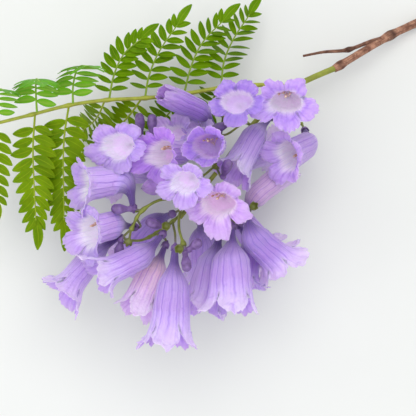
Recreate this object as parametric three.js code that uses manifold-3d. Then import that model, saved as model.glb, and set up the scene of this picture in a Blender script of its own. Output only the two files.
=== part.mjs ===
// A cut flowering spray of a jacaranda tree, lying face up: a short woody twig, the panicle that it carries
// with its bell-shaped blooms and buds, and one twice-pinnate leaf. Millimetres, +Z up, origin under the
// middle of the spray.
import * as THREE from "three";
import { mergeVertices } from "three/addons/utils/BufferGeometryUtils.js";
import Module from "manifold-3d";

const wasm = await Module();
wasm.setup();

// Places are read off a square picture of the spray seen from above: pixels across and down, and a height
// in mm. The picture is 204 mm wide at height 0 and was taken from VIEW_DISTANCE, so what is higher looks
// larger.
const PICTURE_MIDDLE = 208;
const MM_PER_PIXEL = 0.49;
const VIEW_DISTANCE = 700;

function place(across, down, height) {
  const scale = MM_PER_PIXEL * (1 - height / VIEW_DISTANCE);
  return new THREE.Vector3((across - PICTURE_MIDDLE) * scale, (PICTURE_MIDDLE - down) * scale, height);
}

// Gap between a piece and the one that carries it.
const SEAT_GAP = 0.3;

// The corolla, measured along its middle line from the calyx: a narrow tube, a belly, a throat, and five
// lobes.
const COROLLA = {
  throatAt: 38,
  floorAt: 14,
  outer: [[1.6, 0], [2.1, 6], [6.2, 13], [8.1, 21], [8.7, 36]],
  inner: [[7.6, 35], [6.5, 20]],
  lobe: { radius: 12.8, closed: 6.6, at: 45 },
  notch: { radius: 9.6, closed: 6.4, at: 40 },
  lowerLip: 1.1,
  flatness: 0.88,
  bendFrom: 4,
  bendTo: 24,
};
const LOBES = 5;
// Seen ones have a flat end to each lobe, the hidden ones a point.
const SIDES_PER_LOBE = { seen: 3, hidden: 2 };

// Stems of the panicle.
const PEDICEL_RADIUS = 0.6;
const CALYX = { length: 2.8, radius: 1.9, waist: 1.0 };
const BUD = { neck: 1.3, belly: 2.5, tip: 1.1 };

// The leaf: two rows of pinnae on a rachis, each with pairs of leaflets and one at its tip.
const LEAFLET = { spacing: 8.2, length: 12.5, width: 5.4, thickness: 0.55, sunk: 0.9, tipStretch: 1.25 };
const LEAFLET_ANGLE = { base: 72, tip: 38 };
const PINNA_RADIUS = { base: 0.85, tip: 0.6 };

const BARK = new THREE.MeshStandardMaterial({ color: 0x8a5a3c, roughness: 0.9, metalness: 0 });
const GREEN_STEM = new THREE.MeshStandardMaterial({ color: 0x7f9420, roughness: 0.6, metalness: 0 });
const LEAF_GREEN = new THREE.MeshStandardMaterial({ color: 0x6f9a1c, roughness: 0.5, metalness: 0 });
const LAVENDER = new THREE.MeshStandardMaterial({ color: 0xb9a2e8, roughness: 0.6, metalness: 0 });

// Down in the picture, the way that the flowers hung, with a little towards the viewer.
const DROOP = new THREE.Vector3(0, -1, 0.3).normalize();
const TOWARDS_VIEWER = new THREE.Vector3(0, 0, 1);

// A closed geometry as a solid, with the vertices that faces share made one.
function solidOf(geometry) {
  const bare = geometry.clone();
  bare.deleteAttribute("normal");
  bare.deleteAttribute("uv");
  const merged = mergeVertices(bare, 1e-4);
  return new wasm.Manifold(
    new wasm.Mesh({
      numProp: 3,
      vertProperties: merged.attributes.position.array,
      triVerts: new Uint32Array(merged.index.array),
    }),
  );
}

// A solid as a named mesh.
function meshOf(name, solid, material) {
  const { vertProperties, triVerts } = solid.getMesh();
  const geometry = new THREE.BufferGeometry()
    .setAttribute("position", new THREE.BufferAttribute(new Float32Array(vertProperties), 3))
    .setIndex(new THREE.BufferAttribute(new Uint32Array(triVerts), 1));
  geometry.computeVertexNormals();
  const mesh = new THREE.Mesh(geometry, material);
  mesh.name = name;
  return mesh;
}

function union(solids) {
  return solids.reduce((whole, next) => whole.add(next));
}

// What is left of a solid when another is cut away, without the crumbs.
function cutClear(solid, other) {
  return solid.subtract(other).decompose().sort((a, b) => b.volume() - a.volume())[0];
}

// A cylinder carried along a curve. Each ring is a share of the curve's length and a radius. `tangent`
// turns the first ring so that its flat end faces the piece before it squarely, and `side` says where a
// flat side begins.
function limb(curve, rings, sides, { tangent: first, side = new THREE.Vector3(0.31, 0.22, 0.93) } = {}) {
  const geometry = new THREE.CylinderGeometry(1, 1, 1, sides, rings.length - 1);
  const across = side.clone();
  const frames = rings.map(([share, radius], i) => {
    const tangent = i === 0 && first ? first.clone() : curve.getTangentAt(share);
    across.addScaledVector(tangent, -across.dot(tangent)).normalize();
    return {
      centre: curve.getPointAt(share),
      across: across.clone().multiplyScalar(radius),
      beside: across.clone().cross(tangent).multiplyScalar(radius),
    };
  });
  const position = geometry.attributes.position;
  for (let i = 0; i < position.count; i++) {
    const frame = frames[Math.round((position.getY(i) + 0.5) * (rings.length - 1))];
    const point = frame.centre
      .clone()
      .addScaledVector(frame.across, position.getX(i))
      .addScaledVector(frame.beside, position.getZ(i));
    position.setXYZ(i, point.x, point.y, point.z);
  }
  return solidOf(geometry);
}

// Evenly spaced rings whose radius runs from one value to another.
function taper(from, to, steps) {
  return Array.from({ length: steps + 1 }, (_, i) => [i / steps, from + ((to - from) * i) / steps]);
}

function fattened(rings) {
  return rings.map(([share, radius]) => [share, radius + SEAT_GAP]);
}

function smoothstep(low, high, x) {
  const t = THREE.MathUtils.clamp((x - low) / (high - low), 0, 1);
  return t * t * (3 - 2 * t);
}

// The corolla's middle line bends by `bend` degrees between two lengths, and lies in its own x-z plane with
// the straight line from calyx to throat along z. Gives the point and the turn at a length along it.
function spineOf(bend) {
  const turn = THREE.MathUtils.degToRad(bend);
  const steps = 120;
  const last = 60;
  const samples = [{ x: 0, z: 0, angle: 0 }];
  for (let i = 1; i <= steps; i++) {
    const middle = ((i - 0.5) * last) / steps;
    const angle = turn * smoothstep(COROLLA.bendFrom, COROLLA.bendTo, middle);
    const before = samples[i - 1];
    samples.push({
      x: before.x + (Math.sin(angle) * last) / steps,
      z: before.z + (Math.cos(angle) * last) / steps,
      angle: turn * smoothstep(COROLLA.bendFrom, COROLLA.bendTo, (i * last) / steps),
    });
  }
  const raw = (along) => {
    const i = THREE.MathUtils.clamp((along * steps) / last, 0, steps - 1e-6);
    const [a, b] = [samples[Math.floor(i)], samples[Math.floor(i) + 1]];
    const t = i - Math.floor(i);
    return { x: a.x + (b.x - a.x) * t, z: a.z + (b.z - a.z) * t, angle: a.angle + (b.angle - a.angle) * t };
  };
  const throat = raw(COROLLA.throatAt);
  const lean = Math.atan2(throat.x, throat.z);
  const [c, s] = [Math.cos(lean), Math.sin(lean)];
  const at = (along) => {
    const p = raw(along);
    return { x: p.x * c - p.z * s, z: p.x * s + p.z * c, angle: p.angle - lean };
  };
  return { at, lean, chord: Math.hypot(throat.x, throat.z) };
}

// One corolla at full size: a lathed bell with five lobes at its lip, bent along its spine. `open` is 1 for
// lobes that are spread and 0 for lobes that still lie over the throat.
function corollaGeometry({ bend = 35, open = 1, hidden = false }) {
  const { outer, inner, lobe, notch, lowerLip, flatness, floorAt } = COROLLA;
  const lobeRadius = THREE.MathUtils.lerp(lobe.closed, lobe.radius, open);
  const notchRadius = THREE.MathUtils.lerp(notch.closed, notch.radius, open);
  const profile = [[0, 0], ...outer, [lobe.radius, lobe.at], ...inner, [0, floorAt]];
  const sidesPerLobe = hidden ? SIDES_PER_LOBE.hidden : SIDES_PER_LOBE.seen;
  const segments = LOBES * sidesPerLobe;
  const geometry = new THREE.LatheGeometry(
    profile.map(([r, y]) => new THREE.Vector2(r, y)),
    segments,
    (Math.PI / segments) * (sidesPerLobe % 2),
  );
  // The lip's inner faces are split from the same corners as its outer ones, so that the two walls never
  // cross.
  const lipRow = outer.length + 1;
  for (let i = 0; i < segments; i++) {
    const corner = lipRow + i * profile.length;
    const next = corner + profile.length;
    const split = [corner, next, next + 1, corner, next + 1, corner + 1];
    geometry.index.array.set(split, 6 * (i * (profile.length - 1) + lipRow));
  }
  const spine = spineOf(bend);
  const position = geometry.attributes.position;
  for (let i = 0; i < position.count; i++) {
    let along = position.getY(i);
    let radius = Math.hypot(position.getX(i), position.getZ(i));
    const around = Math.atan2(position.getX(i), position.getZ(i));
    if (along > COROLLA.throatAt) {
      const share = (around / (2 * Math.PI)) * LOBES + LOBES + 0.5;
      const inNotch = Math.abs(share - Math.round(share)) < 0.1;
      const lip = Math.abs(around) < Math.PI * 0.6 ? lowerLip : 1;
      radius = inNotch ? notchRadius : lobeRadius * lip;
      along = inNotch ? notch.at : COROLLA.throatAt + (lobe.at - COROLLA.throatAt) * lip;
    }
    const down = radius * Math.cos(around) * flatness;
    const side = radius * Math.sin(around);
    const p = spine.at(along);
    position.setXYZ(i, p.x + down * Math.cos(p.angle), side, p.z - down * Math.sin(p.angle));
  }
  return geometry;
}

// Where a bloom stands: its base on `seat`, its throat at `mouth`, its lower lip on the drooping side.
function stanceOf({ seat, mouth, bend = 35, droop = DROOP }) {
  const forward = mouth.clone().sub(seat);
  const length = forward.length();
  forward.normalize();
  const down = droop.clone().addScaledVector(forward, -droop.dot(forward)).normalize();
  const side = forward.clone().cross(down);
  const { lean, chord } = spineOf(bend);
  const baseDirection = forward.clone().multiplyScalar(Math.cos(lean)).addScaledVector(down, -Math.sin(lean));
  return { matrix: new THREE.Matrix4().makeBasis(down, side, forward), scale: length / chord, baseDirection };
}

function bloomMesh(bloom) {
  const stance = stanceOf(bloom);
  const mesh = new THREE.Mesh(corollaGeometry(bloom), LAVENDER);
  mesh.name = bloom.name;
  mesh.position.copy(bloom.seat);
  mesh.quaternion.setFromRotationMatrix(stance.matrix);
  mesh.scale.setScalar(stance.scale);
  return mesh;
}

// A pedicel from a point on its branch to a bloom's base, which it meets squarely with its cup-shaped calyx.
function pedicel(from, { seat, ...bloom }) {
  const { baseDirection } = stanceOf({ seat, ...bloom });
  const end = seat.clone().addScaledVector(baseDirection, -SEAT_GAP);
  const reach = from.distanceTo(end);
  const curve = new THREE.CubicBezierCurve3(
    from,
    from.clone().lerp(end, 0.35),
    end.clone().addScaledVector(baseDirection, -Math.max(reach * 0.45, CALYX.length * 1.5)),
    end,
  );
  const length = curve.getLength();
  const rings = [
    [0, PEDICEL_RADIUS],
    [0.5, PEDICEL_RADIUS],
    [1 - (CALYX.length * 1.2) / length, PEDICEL_RADIUS * 1.1],
    [1 - (CALYX.length * 0.7) / length, CALYX.waist * 1.5],
    [1, CALYX.radius],
  ];
  return limb(curve, rings, 5);
}

// A closed bud: a short stalk from its branch to `neck`, then a club to `tip`.
function bud(from, { neck, tip }) {
  const forward = tip.clone().sub(neck);
  const curve = new THREE.CatmullRomCurve3([
    from,
    neck.clone().addScaledVector(forward, -0.12),
    neck.clone().addScaledVector(forward, 0.2),
    tip,
  ]);
  const whole = curve.getLength();
  const share = (mm) => 1 - Math.min(mm, whole * 0.9) / whole;
  const club = forward.length();
  const rings = [
    [0, PEDICEL_RADIUS],
    [share(club + 2.2), PEDICEL_RADIUS],
    [share(club), CALYX.radius * 0.85],
    [share(club * 0.8), BUD.neck],
    [share(club * 0.45), BUD.belly],
    [share(club * 0.15), BUD.belly * 0.9],
    [1, BUD.tip],
  ];
  return limb(curve, rings, 5);
}

// The woody twig from its flat cut to its last node, with swollen nodes and one thin old side twig.
const TWIG_POINTS = [place(432, 16, -46.3), place(389, 36, -36), place(362, 52, -30), place(334, 69, -25)];
const TWIG_RINGS = [
  [0, 2.2], [0.14, 2.1], [0.36, 2.05], [0.43, 2.75], [0.5, 2.0], [0.68, 1.85], [0.88, 1.9], [0.94, 2.5],
  [1, 1.8],
];
const TWIG_SIDES = 8;
const SIDE_TWIG_POINTS = [
  place(391, 36, -36), place(372, 41, -32), place(347, 50, -30), place(324, 52, -30), place(303, 56, -30),
];
const SIDE_TWIG_RINGS = [[0, 1.1], [0.3, 0.95], [0.45, 1.0], [0.51, 1.6], [0.57, 0.9], [1, 0.6]];

// The panicle's main stem, from the twig's last node into the heart of the blooms.
const AXIS_POINTS = [
  place(312, 78, -21), place(292, 88, -17), place(270, 106, -12), place(250, 128, -7),
  place(232, 152, -3), place(212, 178, 0), place(194, 200, 3), place(180, 218, 5),
];
const AXIS_RINGS = taper(1.55, 0.95, 14);

const twigCurve = new THREE.CatmullRomCurve3(TWIG_POINTS);
const twigEnd = twigCurve.getPointAt(1);
const twigTangent = twigCurve.getTangentAt(1);
const axisStart = twigEnd.clone().addScaledVector(twigTangent, SEAT_GAP);
const axisCurve = new THREE.CatmullRomCurve3([axisStart, ...AXIS_POINTS]);

// Side branches of the panicle. Each starts inside the main stem, follows its points, and carries blooms
// and buds: `from` is the share of the branch's length where a stalk leaves it.
const BRANCHES = [
  {
    name: "stalks_crown",
    points: [place(252, 126, -7), place(240, 119, -14), place(224, 116, -20), place(213, 115, -20)],
    blooms: [
      {
        name: "bloom_crown_left", from: 0.2, seat: place(217, 131, -10), mouth: place(170, 98, 3),
        open: 0.1,
      },
      {
        name: "bloom_crown_middle", from: 0.4, seat: place(243, 112, -3), mouth: place(236, 101, 28),
        bend: 8,
      },
      {
        name: "bloom_crown_behind", from: 0.8, seat: place(218, 136, -34), mouth: place(201, 137, -9),
        bend: 8, hidden: true,
      },
    ],
    buds: [{ from: 0.3, neck: place(232, 122, 0), tip: place(209, 132, 8) }],
    cups: [],
  },
  {
    name: "stalks_right",
    points: [place(268, 108, -12), place(280, 112, -18), place(294, 120, -24), place(302, 124, -26)],
    blooms: [
      {
        name: "bloom_crown_right", from: 0.6, seat: place(291, 97, -10), mouth: place(285, 104, 28),
        bend: 10,
      },
      {
        name: "bloom_right_upper", from: 0.15, seat: place(271, 117, -4), mouth: place(237, 166, 9),
        open: 0.45, bend: 12,
      },
      {
        name: "bloom_right_outer", from: 1, seat: place(305, 131, -18), mouth: place(284, 158, 8),
        bend: 50,
        droop: new THREE.Vector3(-0.7, -0.3, 0.6),
      },
    ],
    buds: [],
    cups: [],
  },
  {
    name: "stalks_upper_left",
    points: [
      place(222, 165, -2), place(205, 160, -8), place(185, 150, -10), place(165, 147, -12),
      place(153, 147, -15),
    ],
    blooms: [
      {
        name: "bloom_upper_middle", from: 0.5, seat: place(197, 157, 0), mouth: place(157, 154, 28),
        bend: 12,
      },
      {
        name: "bloom_upper_behind", from: 0.6, seat: place(187, 152, -31), mouth: place(171.5, 134, -6),
        hidden: true,
      },
      { name: "bloom_upper_left", from: 1, seat: place(138, 147, -7), mouth: place(115.5, 147, 27), bend: 8 },
    ],
    buds: [
      { from: 0.96, neck: place(141, 137, -9), tip: place(139, 113, -4) },
      { from: 0.85, neck: place(152, 136, -6), tip: place(152, 114, -4) },
    ],
    cups: [],
  },
  {
    name: "stalks_left",
    points: [
      place(194, 200, 3), place(176, 199, 14), place(157, 201, 20), place(140, 213, 22),
      place(131, 230, 20),
    ],
    blooms: [
      {
        name: "bloom_left_upper", from: 0.72, seat: place(133, 207, 19), mouth: place(81, 185, 24),
        bend: 95,
      },
      { name: "bloom_left_lower", from: 0.85, seat: place(134, 227, 6), mouth: place(85, 232, 25), bend: 20 },
      { name: "bloom_left_inner", from: 0.3, seat: place(192, 190, 14), mouth: place(148, 187, 26), open: 0 },
    ],
    buds: [
      { from: 0.76, neck: place(131, 209, 24), tip: place(111, 209, 26) },
      { from: 0.98, neck: place(121, 241, 16), tip: place(118, 256, 13) },
    ],
    cups: [{ from: 1, seat: place(128, 243, 16), mouth: place(122, 262, 10) }],
  },
  {
    name: "stalks_lower_left",
    points: [
      place(186, 210, 4), place(172, 222, 10), place(158, 232, 12), place(142, 240, 8), place(126, 240, 0),
    ],
    blooms: [
      {
        name: "bloom_bottom_outer", from: 1, seat: place(118, 238, -4), mouth: place(68, 287, 4), open: 0.7,
        bend: 20,
      },
      {
        name: "bloom_bottom_left", from: 0.6, seat: place(162, 235, 19), mouth: place(106, 272, 25),
        open: 0.7, bend: 25,
        droop: new THREE.Vector3(-1, -0.2, 0.3),
      },
      {
        name: "bloom_bottom_behind", from: 0.5, seat: place(165, 246, 4), mouth: place(141, 303, 10),
        bend: 15, open: 0.6, hidden: true,
        droop: new THREE.Vector3(-0.2, -0.4, 1),
      },
      {
        name: "bloom_bottom_middle", from: 0.25, seat: place(175, 249, 26), mouth: place(169, 331, 29),
        bend: 10, open: 0.55,
        droop: new THREE.Vector3(-0.15, -0.6, 1),
      },
    ],
    buds: [{ from: 0.4, neck: place(164, 227, 20), tip: place(146, 221, 24) }],
    cups: [{ from: 0.35, seat: place(166, 226, 28), mouth: place(158, 232, 40) }],
  },
  {
    name: "stalks_lower",
    points: [place(187, 207, 4), place(181, 209, 18), place(179, 228, 29), place(184, 246, 34)],
    blooms: [],
    buds: [
      { from: 0.97, neck: place(189, 249, 35), tip: place(201, 241, 38) },
      { from: 1, neck: place(185, 253, 35), tip: place(187, 271, 40) },
    ],
    cups: [{ from: 0.95, seat: place(179, 249, 38), mouth: place(173, 258, 50) }],
  },
  {
    name: "stalks_lower_right",
    points: [place(205, 186, 1), place(220, 200, 2), place(236, 210, 4), place(249, 213, 6)],
    blooms: [
      {
        name: "bloom_front_right", from: 0.3, seat: place(230, 197, 9), mouth: place(215.5, 206, 43),
        bend: 12,
      },
      {
        name: "bloom_bottom_right", from: 0.6, seat: place(232, 228, 20), mouth: place(231, 300, 26),
        bend: 10, open: 0.55,
        droop: new THREE.Vector3(0, -0.4, 1),
      },
      {
        name: "bloom_bottom_inner", from: 0.45, seat: place(220, 232, 4), mouth: place(205, 300, 9),
        bend: 15, open: 0.6, hidden: true,
        droop: new THREE.Vector3(-0.2, -0.4, 1),
      },
      {
        name: "bloom_lower_right", from: 1, seat: place(246, 211, 21), mouth: place(278, 260, 12),
        open: 0.95, bend: 40,
        droop: new THREE.Vector3(0.7, 0, -0.5),
      },
      {
        name: "bloom_lower_behind", from: 0.75, seat: place(240, 226, -6), mouth: place(247, 284, 2),
        hidden: true,
      },
      {
        name: "bloom_right_lower", from: 0.8, seat: place(241, 217, -8), mouth: place(283, 175, -11),
        open: 0.3, bend: 20, hidden: true,
      },
    ],
    buds: [],
    cups: [
      { from: 0.8, seat: place(237, 219, 18), mouth: place(236, 230, 30) },
      { from: 1, seat: place(254, 206, 12), mouth: place(262, 200, 22) },
    ],
  },
  {
    name: "stalks_front",
    points: [place(220, 168, -1), place(217, 168, 6), place(214, 166, 12)],
    blooms: [
      {
        name: "bloom_front_left", from: 0.9, seat: place(198, 178, 23), mouth: place(183.5, 183.5, 51),
        bend: 12,
      },
      {
        name: "bloom_upper_right", from: 0.9, seat: place(220, 149, 7), mouth: place(206, 146, 38),
        open: 0.55, bend: 12,
      },
    ],
    buds: [{ from: 0.6, neck: place(223, 176, 28), tip: place(229, 161, 39) }],
    cups: [],
  },
  {
    name: "stalks_back",
    points: [place(201, 191, 1), place(200, 193, -7), place(198, 197, -14)],
    blooms: [
      {
        name: "bloom_back_left", from: 1, seat: place(166, 186, -14), mouth: place(120, 172, -35.5),
        hidden: true,
      },
      {
        name: "bloom_back_right", from: 0.8, seat: place(232, 180, -14), mouth: place(272, 150, -34.6),
        hidden: true,
      },
      {
        name: "bloom_back_lower_right", from: 1, seat: place(226, 214, -16), mouth: place(262, 250, -36),
        hidden: true,
      },
      {
        name: "bloom_back_lower_left", from: 1, seat: place(172, 214, -14),
        mouth: place(136.5, 254, -35.27),
      },
      {
        name: "bloom_back_bottom", from: 1, seat: place(200, 222, -18), mouth: place(204, 274, -37.8),
        hidden: true,
      },
    ],
    buds: [],
    cups: [],
  },
];
const BRANCH_RADIUS = { base: 0.9, tip: 0.68 };

// The leaf's rachis, from the twig's last node behind the crown of blooms to the leaf's far end.
const RACHIS_POINTS = [
  place(342, 64, -27), place(318, 75, -33), place(292, 85, -33), place(255, 85, -28), place(220, 88, -21),
  place(183, 94, -14), place(145, 98, -5), place(107, 100, 2), place(70, 105, 6), place(34, 114, 9),
  place(-2, 123, 11), place(-34, 131, 12),
];
const RACHIS_RINGS = taper(1.3, 0.8, 22);

// Pinnae: the upper row and the lower row at seven places along the rachis, and one at its end. Each is a
// curve from the rachis to its tip, and `face` is the way that its upper side looks.
const UPPER_FACE = new THREE.Vector3(0, 1, 0.25).normalize();
const PINNAE = [
  { name: "pinna_end", points: [place(-34.7, 131.3, 12), place(-60, 141, 14), place(-90, 158, 14)] },
  {
    name: "pinna_1_upper",
    points: [place(-1, 122, 11), place(-3, 105, 18), place(-1, 90, 34), place(4, 90, 50)], face: UPPER_FACE,
  },
  { name: "pinna_1_lower", points: [place(-3, 124, 11), place(-6, 158, 10), place(-4, 200, 8)] },
  {
    name: "pinna_2_upper",
    points: [place(37, 113, 9), place(36, 96, 14), place(36, 80, 30), place(40, 82, 54)], face: UPPER_FACE,
  },
  { name: "pinna_2_lower", points: [place(35, 114, 9), place(33, 150, 9), place(36, 222, 7)] },
  {
    name: "pinna_3_upper",
    points: [place(73, 105, 6), place(73, 87, 11), place(78, 68, 26), place(90, 66, 46)], face: UPPER_FACE,
  },
  { name: "pinna_3_lower", points: [place(69, 105, 6), place(64, 140, 5), place(64, 222, 2)] },
  {
    name: "pinna_4_upper",
    points: [place(109, 100, 2), place(114, 75, 4), place(124, 54, 8), place(142, 38, 14)],
  },
  {
    name: "pinna_4_lower",
    points: [place(105, 100, 2), place(99, 114, -8), place(91, 124, -22), place(80, 132, -35)],
  },
  {
    name: "pinna_5_upper",
    points: [place(145, 98, -5), place(149, 76, -4), place(159, 52, -2), place(178, 24, 0)],
  },
  {
    name: "pinna_5_lower",
    points: [place(142, 98, -5), place(128, 117, -16), place(110, 134, -27), place(94, 146, -36)],
  },
  {
    name: "pinna_6_upper",
    points: [place(184, 94, -14), place(192, 64, -12), place(203, 42, -12), place(224, 20, -14)],
  },
  {
    name: "pinna_6_lower",
    points: [place(181, 96, -14), place(170, 112, -29), place(153, 132, -39), place(141, 153, -43)],
  },
  {
    name: "pinna_7_upper",
    points: [place(221, 88, -21), place(224, 62, -20), place(233, 40, -22), place(250, 14, -26)],
  },
  {
    name: "pinna_7_lower",
    points: [place(218, 90, -21), place(210, 104, -34), place(197, 124, -42), place(186, 146, -44)],
  },
];

// The 8-faced leaflet, lengthwise along x, as wide as y and as thick as z, its root end at the origin.
function leaflet(root, direction, normal, length, width) {
  const across = normal.clone().cross(direction).normalize();
  const up = direction.clone().cross(across);
  const geometry = new THREE.OctahedronGeometry(1, 0);
  geometry.scale(length / 2, width / 2, LEAFLET.thickness / 2);
  geometry.translate(length / 2 - LEAFLET.sunk, 0, 0);
  geometry.applyMatrix4(new THREE.Matrix4().makeBasis(direction, across, up).setPosition(root));
  return solidOf(geometry);
}

// One pinna: a three-sided stem with leaflets in pairs, smaller at both ends, leaning more to the tip as
// they go.
function pinna({ points, face = TOWARDS_VIEWER }, rachis) {
  const curve = new THREE.CatmullRomCurve3(points);
  const stemEnd = 0.985;
  const shrink = Math.min(1, 0.3 + curve.getLength() / 85);
  const pairs = Math.round(curve.getLength() / LEAFLET.spacing);
  const side = curve.getTangentAt(0).cross(face);
  const solids = [limb(curve, taper(PINNA_RADIUS.base, PINNA_RADIUS.tip, 5), 3, { side })];
  for (let pair = 0; pair < pairs; pair++) {
    const share = 0.2 + (0.74 * pair) / (pairs - 1);
    const along = curve.getTangentAt(share);
    const beside = along.clone().cross(face).normalize();
    const normal = beside.clone().cross(along).normalize();
    const angle = THREE.MathUtils.degToRad(
      THREE.MathUtils.lerp(LEAFLET_ANGLE.base, LEAFLET_ANGLE.tip, pair / (pairs - 1)),
    );
    const size = shrink * (0.72 + 0.28 * Math.sin(Math.PI * Math.min(1, 0.15 + pair / pairs)));
    for (const hand of [-1, 1]) {
      const direction = along.clone().multiplyScalar(Math.cos(angle));
      direction.addScaledVector(beside, hand * Math.sin(angle));
      const root = curve.getPointAt(share + hand * 0.012);
      solids.push(leaflet(root, direction, normal, LEAFLET.length * size, LEAFLET.width * size));
    }
  }
  const end = curve.getTangentAt(stemEnd);
  const upright = end.clone().cross(face).cross(end).normalize();
  solids.push(
    leaflet(
      curve.getPointAt(stemEnd),
      end,
      upright,
      LEAFLET.length * LEAFLET.tipStretch * shrink,
      LEAFLET.width * shrink * 0.9,
    ),
  );
  return cutClear(union(solids), rachis);
}

// The panicle's side branch with its stalks, calyces and buds, cut clear of the main stem.
function branchSolid({ points, blooms, buds, cups }, stem) {
  const curve = new THREE.CatmullRomCurve3(points);
  const solids = [limb(curve, taper(BRANCH_RADIUS.base, BRANCH_RADIUS.tip, 5), 5)];
  blooms.forEach((bloom) => solids.push(pedicel(curve.getPointAt(bloom.from), bloom)));
  cups.forEach((cup) => solids.push(pedicel(curve.getPointAt(cup.from), cup)));
  buds.forEach((one) => solids.push(bud(curve.getPointAt(one.from), one)));
  return cutClear(union(solids), stem);
}

function buildTwig() {
  const main = limb(twigCurve, TWIG_RINGS, TWIG_SIDES);
  const side = limb(new THREE.CatmullRomCurve3(SIDE_TWIG_POINTS), SIDE_TWIG_RINGS, 6);
  return meshOf("twig", main.add(side), BARK);
}

function buildPanicle() {
  const group = new THREE.Group();
  const stem = limb(axisCurve, AXIS_RINGS, 6, { tangent: twigTangent });
  const clearance = limb(axisCurve, fattened(AXIS_RINGS), 6, { tangent: twigTangent });
  group.add(meshOf("panicle_stem", stem, GREEN_STEM));
  for (const branch of BRANCHES) {
    group.add(meshOf(branch.name, branchSolid(branch, clearance), GREEN_STEM));
    branch.blooms.forEach((bloom) => group.add(bloomMesh(bloom)));
  }
  return group;
}

function buildLeaf() {
  const group = new THREE.Group();
  const curve = new THREE.CatmullRomCurve3(RACHIS_POINTS);
  const twigClearance = limb(twigCurve, fattened(TWIG_RINGS), TWIG_SIDES);
  group.add(meshOf("leaf_rachis", limb(curve, RACHIS_RINGS, 5).subtract(twigClearance), GREEN_STEM));
  const clearance = limb(curve, fattened(RACHIS_RINGS), 5);
  PINNAE.forEach((one) => group.add(meshOf(one.name, pinna(one, clearance), LEAF_GREEN)));
  return group;
}

// The whole spray, moved so that the origin is under its middle, on the surface that it lies on.
const spray = new THREE.Group();
const placed = new THREE.Group();
placed.add(buildTwig(), buildPanicle(), buildLeaf());
spray.add(placed);
const box = new THREE.Box3().setFromObject(placed, true);
const middle = box.getCenter(new THREE.Vector3());
placed.position.set(-middle.x, -middle.y, -box.min.z);

export default spray;
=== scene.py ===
"""A cut flowering spray of a jacaranda tree, lying face up under soft studio light.

The spray is a short woody twig, the panicle that it carries with its bell-shaped blooms and buds, and one
twice-pinnate leaf. Sizes are in millimetres until a mesh is made, and then in metres.
"""
import math

import bpy
import numpy as np
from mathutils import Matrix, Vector


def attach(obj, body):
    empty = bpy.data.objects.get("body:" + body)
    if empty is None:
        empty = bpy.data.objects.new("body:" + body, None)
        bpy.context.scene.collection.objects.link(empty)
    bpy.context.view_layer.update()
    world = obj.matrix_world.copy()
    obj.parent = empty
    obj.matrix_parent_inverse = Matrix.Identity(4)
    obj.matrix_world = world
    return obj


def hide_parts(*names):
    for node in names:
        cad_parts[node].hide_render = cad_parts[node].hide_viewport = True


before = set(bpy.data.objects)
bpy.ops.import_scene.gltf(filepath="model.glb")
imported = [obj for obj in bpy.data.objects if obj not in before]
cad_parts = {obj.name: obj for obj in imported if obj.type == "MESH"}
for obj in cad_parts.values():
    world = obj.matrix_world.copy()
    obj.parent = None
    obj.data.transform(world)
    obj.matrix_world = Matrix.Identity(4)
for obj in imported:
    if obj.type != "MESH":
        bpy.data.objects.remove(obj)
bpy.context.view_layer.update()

# The camera looks straight down on the spray, with the cut end of the twig to the right. Every piece is
# placed by pixels across and down its picture and by a height in mm above the middle of the blooms.
VIEW_DISTANCE = 700
MM_PER_PIXEL = 0.49
PICTURE_WIDTH = 416
PICTURE_CENTRE = np.array([16.255, -20.604, 48.482])


def place(across, down, height):
    """A point in mm: pixels from the picture's middle times mm per pixel, which shrinks with height."""
    scale = MM_PER_PIXEL * (1 - height / VIEW_DISTANCE)
    flat = np.array([(across - PICTURE_WIDTH / 2) * scale, (PICTURE_WIDTH / 2 - down) * scale, height])
    return flat + PICTURE_CENTRE


camera = bpy.data.objects.new("camera", bpy.data.cameras.new("camera"))
camera.data.sensor_width = 36
camera.data.lens = 36 * VIEW_DISTANCE / (MM_PER_PIXEL * PICTURE_WIDTH)
camera.location = (PICTURE_CENTRE + [0, 0, VIEW_DISTANCE]) / 1000
camera.data.clip_start = 0.01
bpy.context.scene.collection.objects.link(camera)
bpy.context.scene.camera = camera


# The twig is last year's wood: thin brown bark with pale pores and swollen, darker nodes, cut square at its
# thick end. A thin dead side twig leaves one node. It is one skin carried along each line, with the bark's
# relief in it.
TWIG_LINE = [place(432, 16, -46.3), place(389, 36, -36), place(362, 52, -30), place(334, 69, -25)]
TWIG_GIRTH = [
    (0, 2.2), (0.14, 2.1), (0.36, 2.05), (0.43, 2.75), (0.5, 2.0), (0.68, 1.85), (0.88, 1.9), (0.94, 2.5),
    (1, 1.8),
]
TWIG_ROWS, TWIG_COLUMNS = 360, 48
SIDE_TWIG_LINE = [
    place(391, 36, -36), place(372, 41, -32), place(347, 50, -30), place(324, 52, -30), place(303, 56, -30),
]
SIDE_TWIG_GIRTH = [(0, 1.1), (0.3, 0.95), (0.45, 1.0), (0.51, 1.6), (0.57, 0.9), (1, 0.6)]
SIDE_ROWS, SIDE_COLUMNS = 220, 24
BARK_WAVES = [(2, 7, 1.0), (3, 17, 0.8), (5, 31, 0.6), (9, 23, 0.6), (14, 60, 0.4)]


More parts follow.
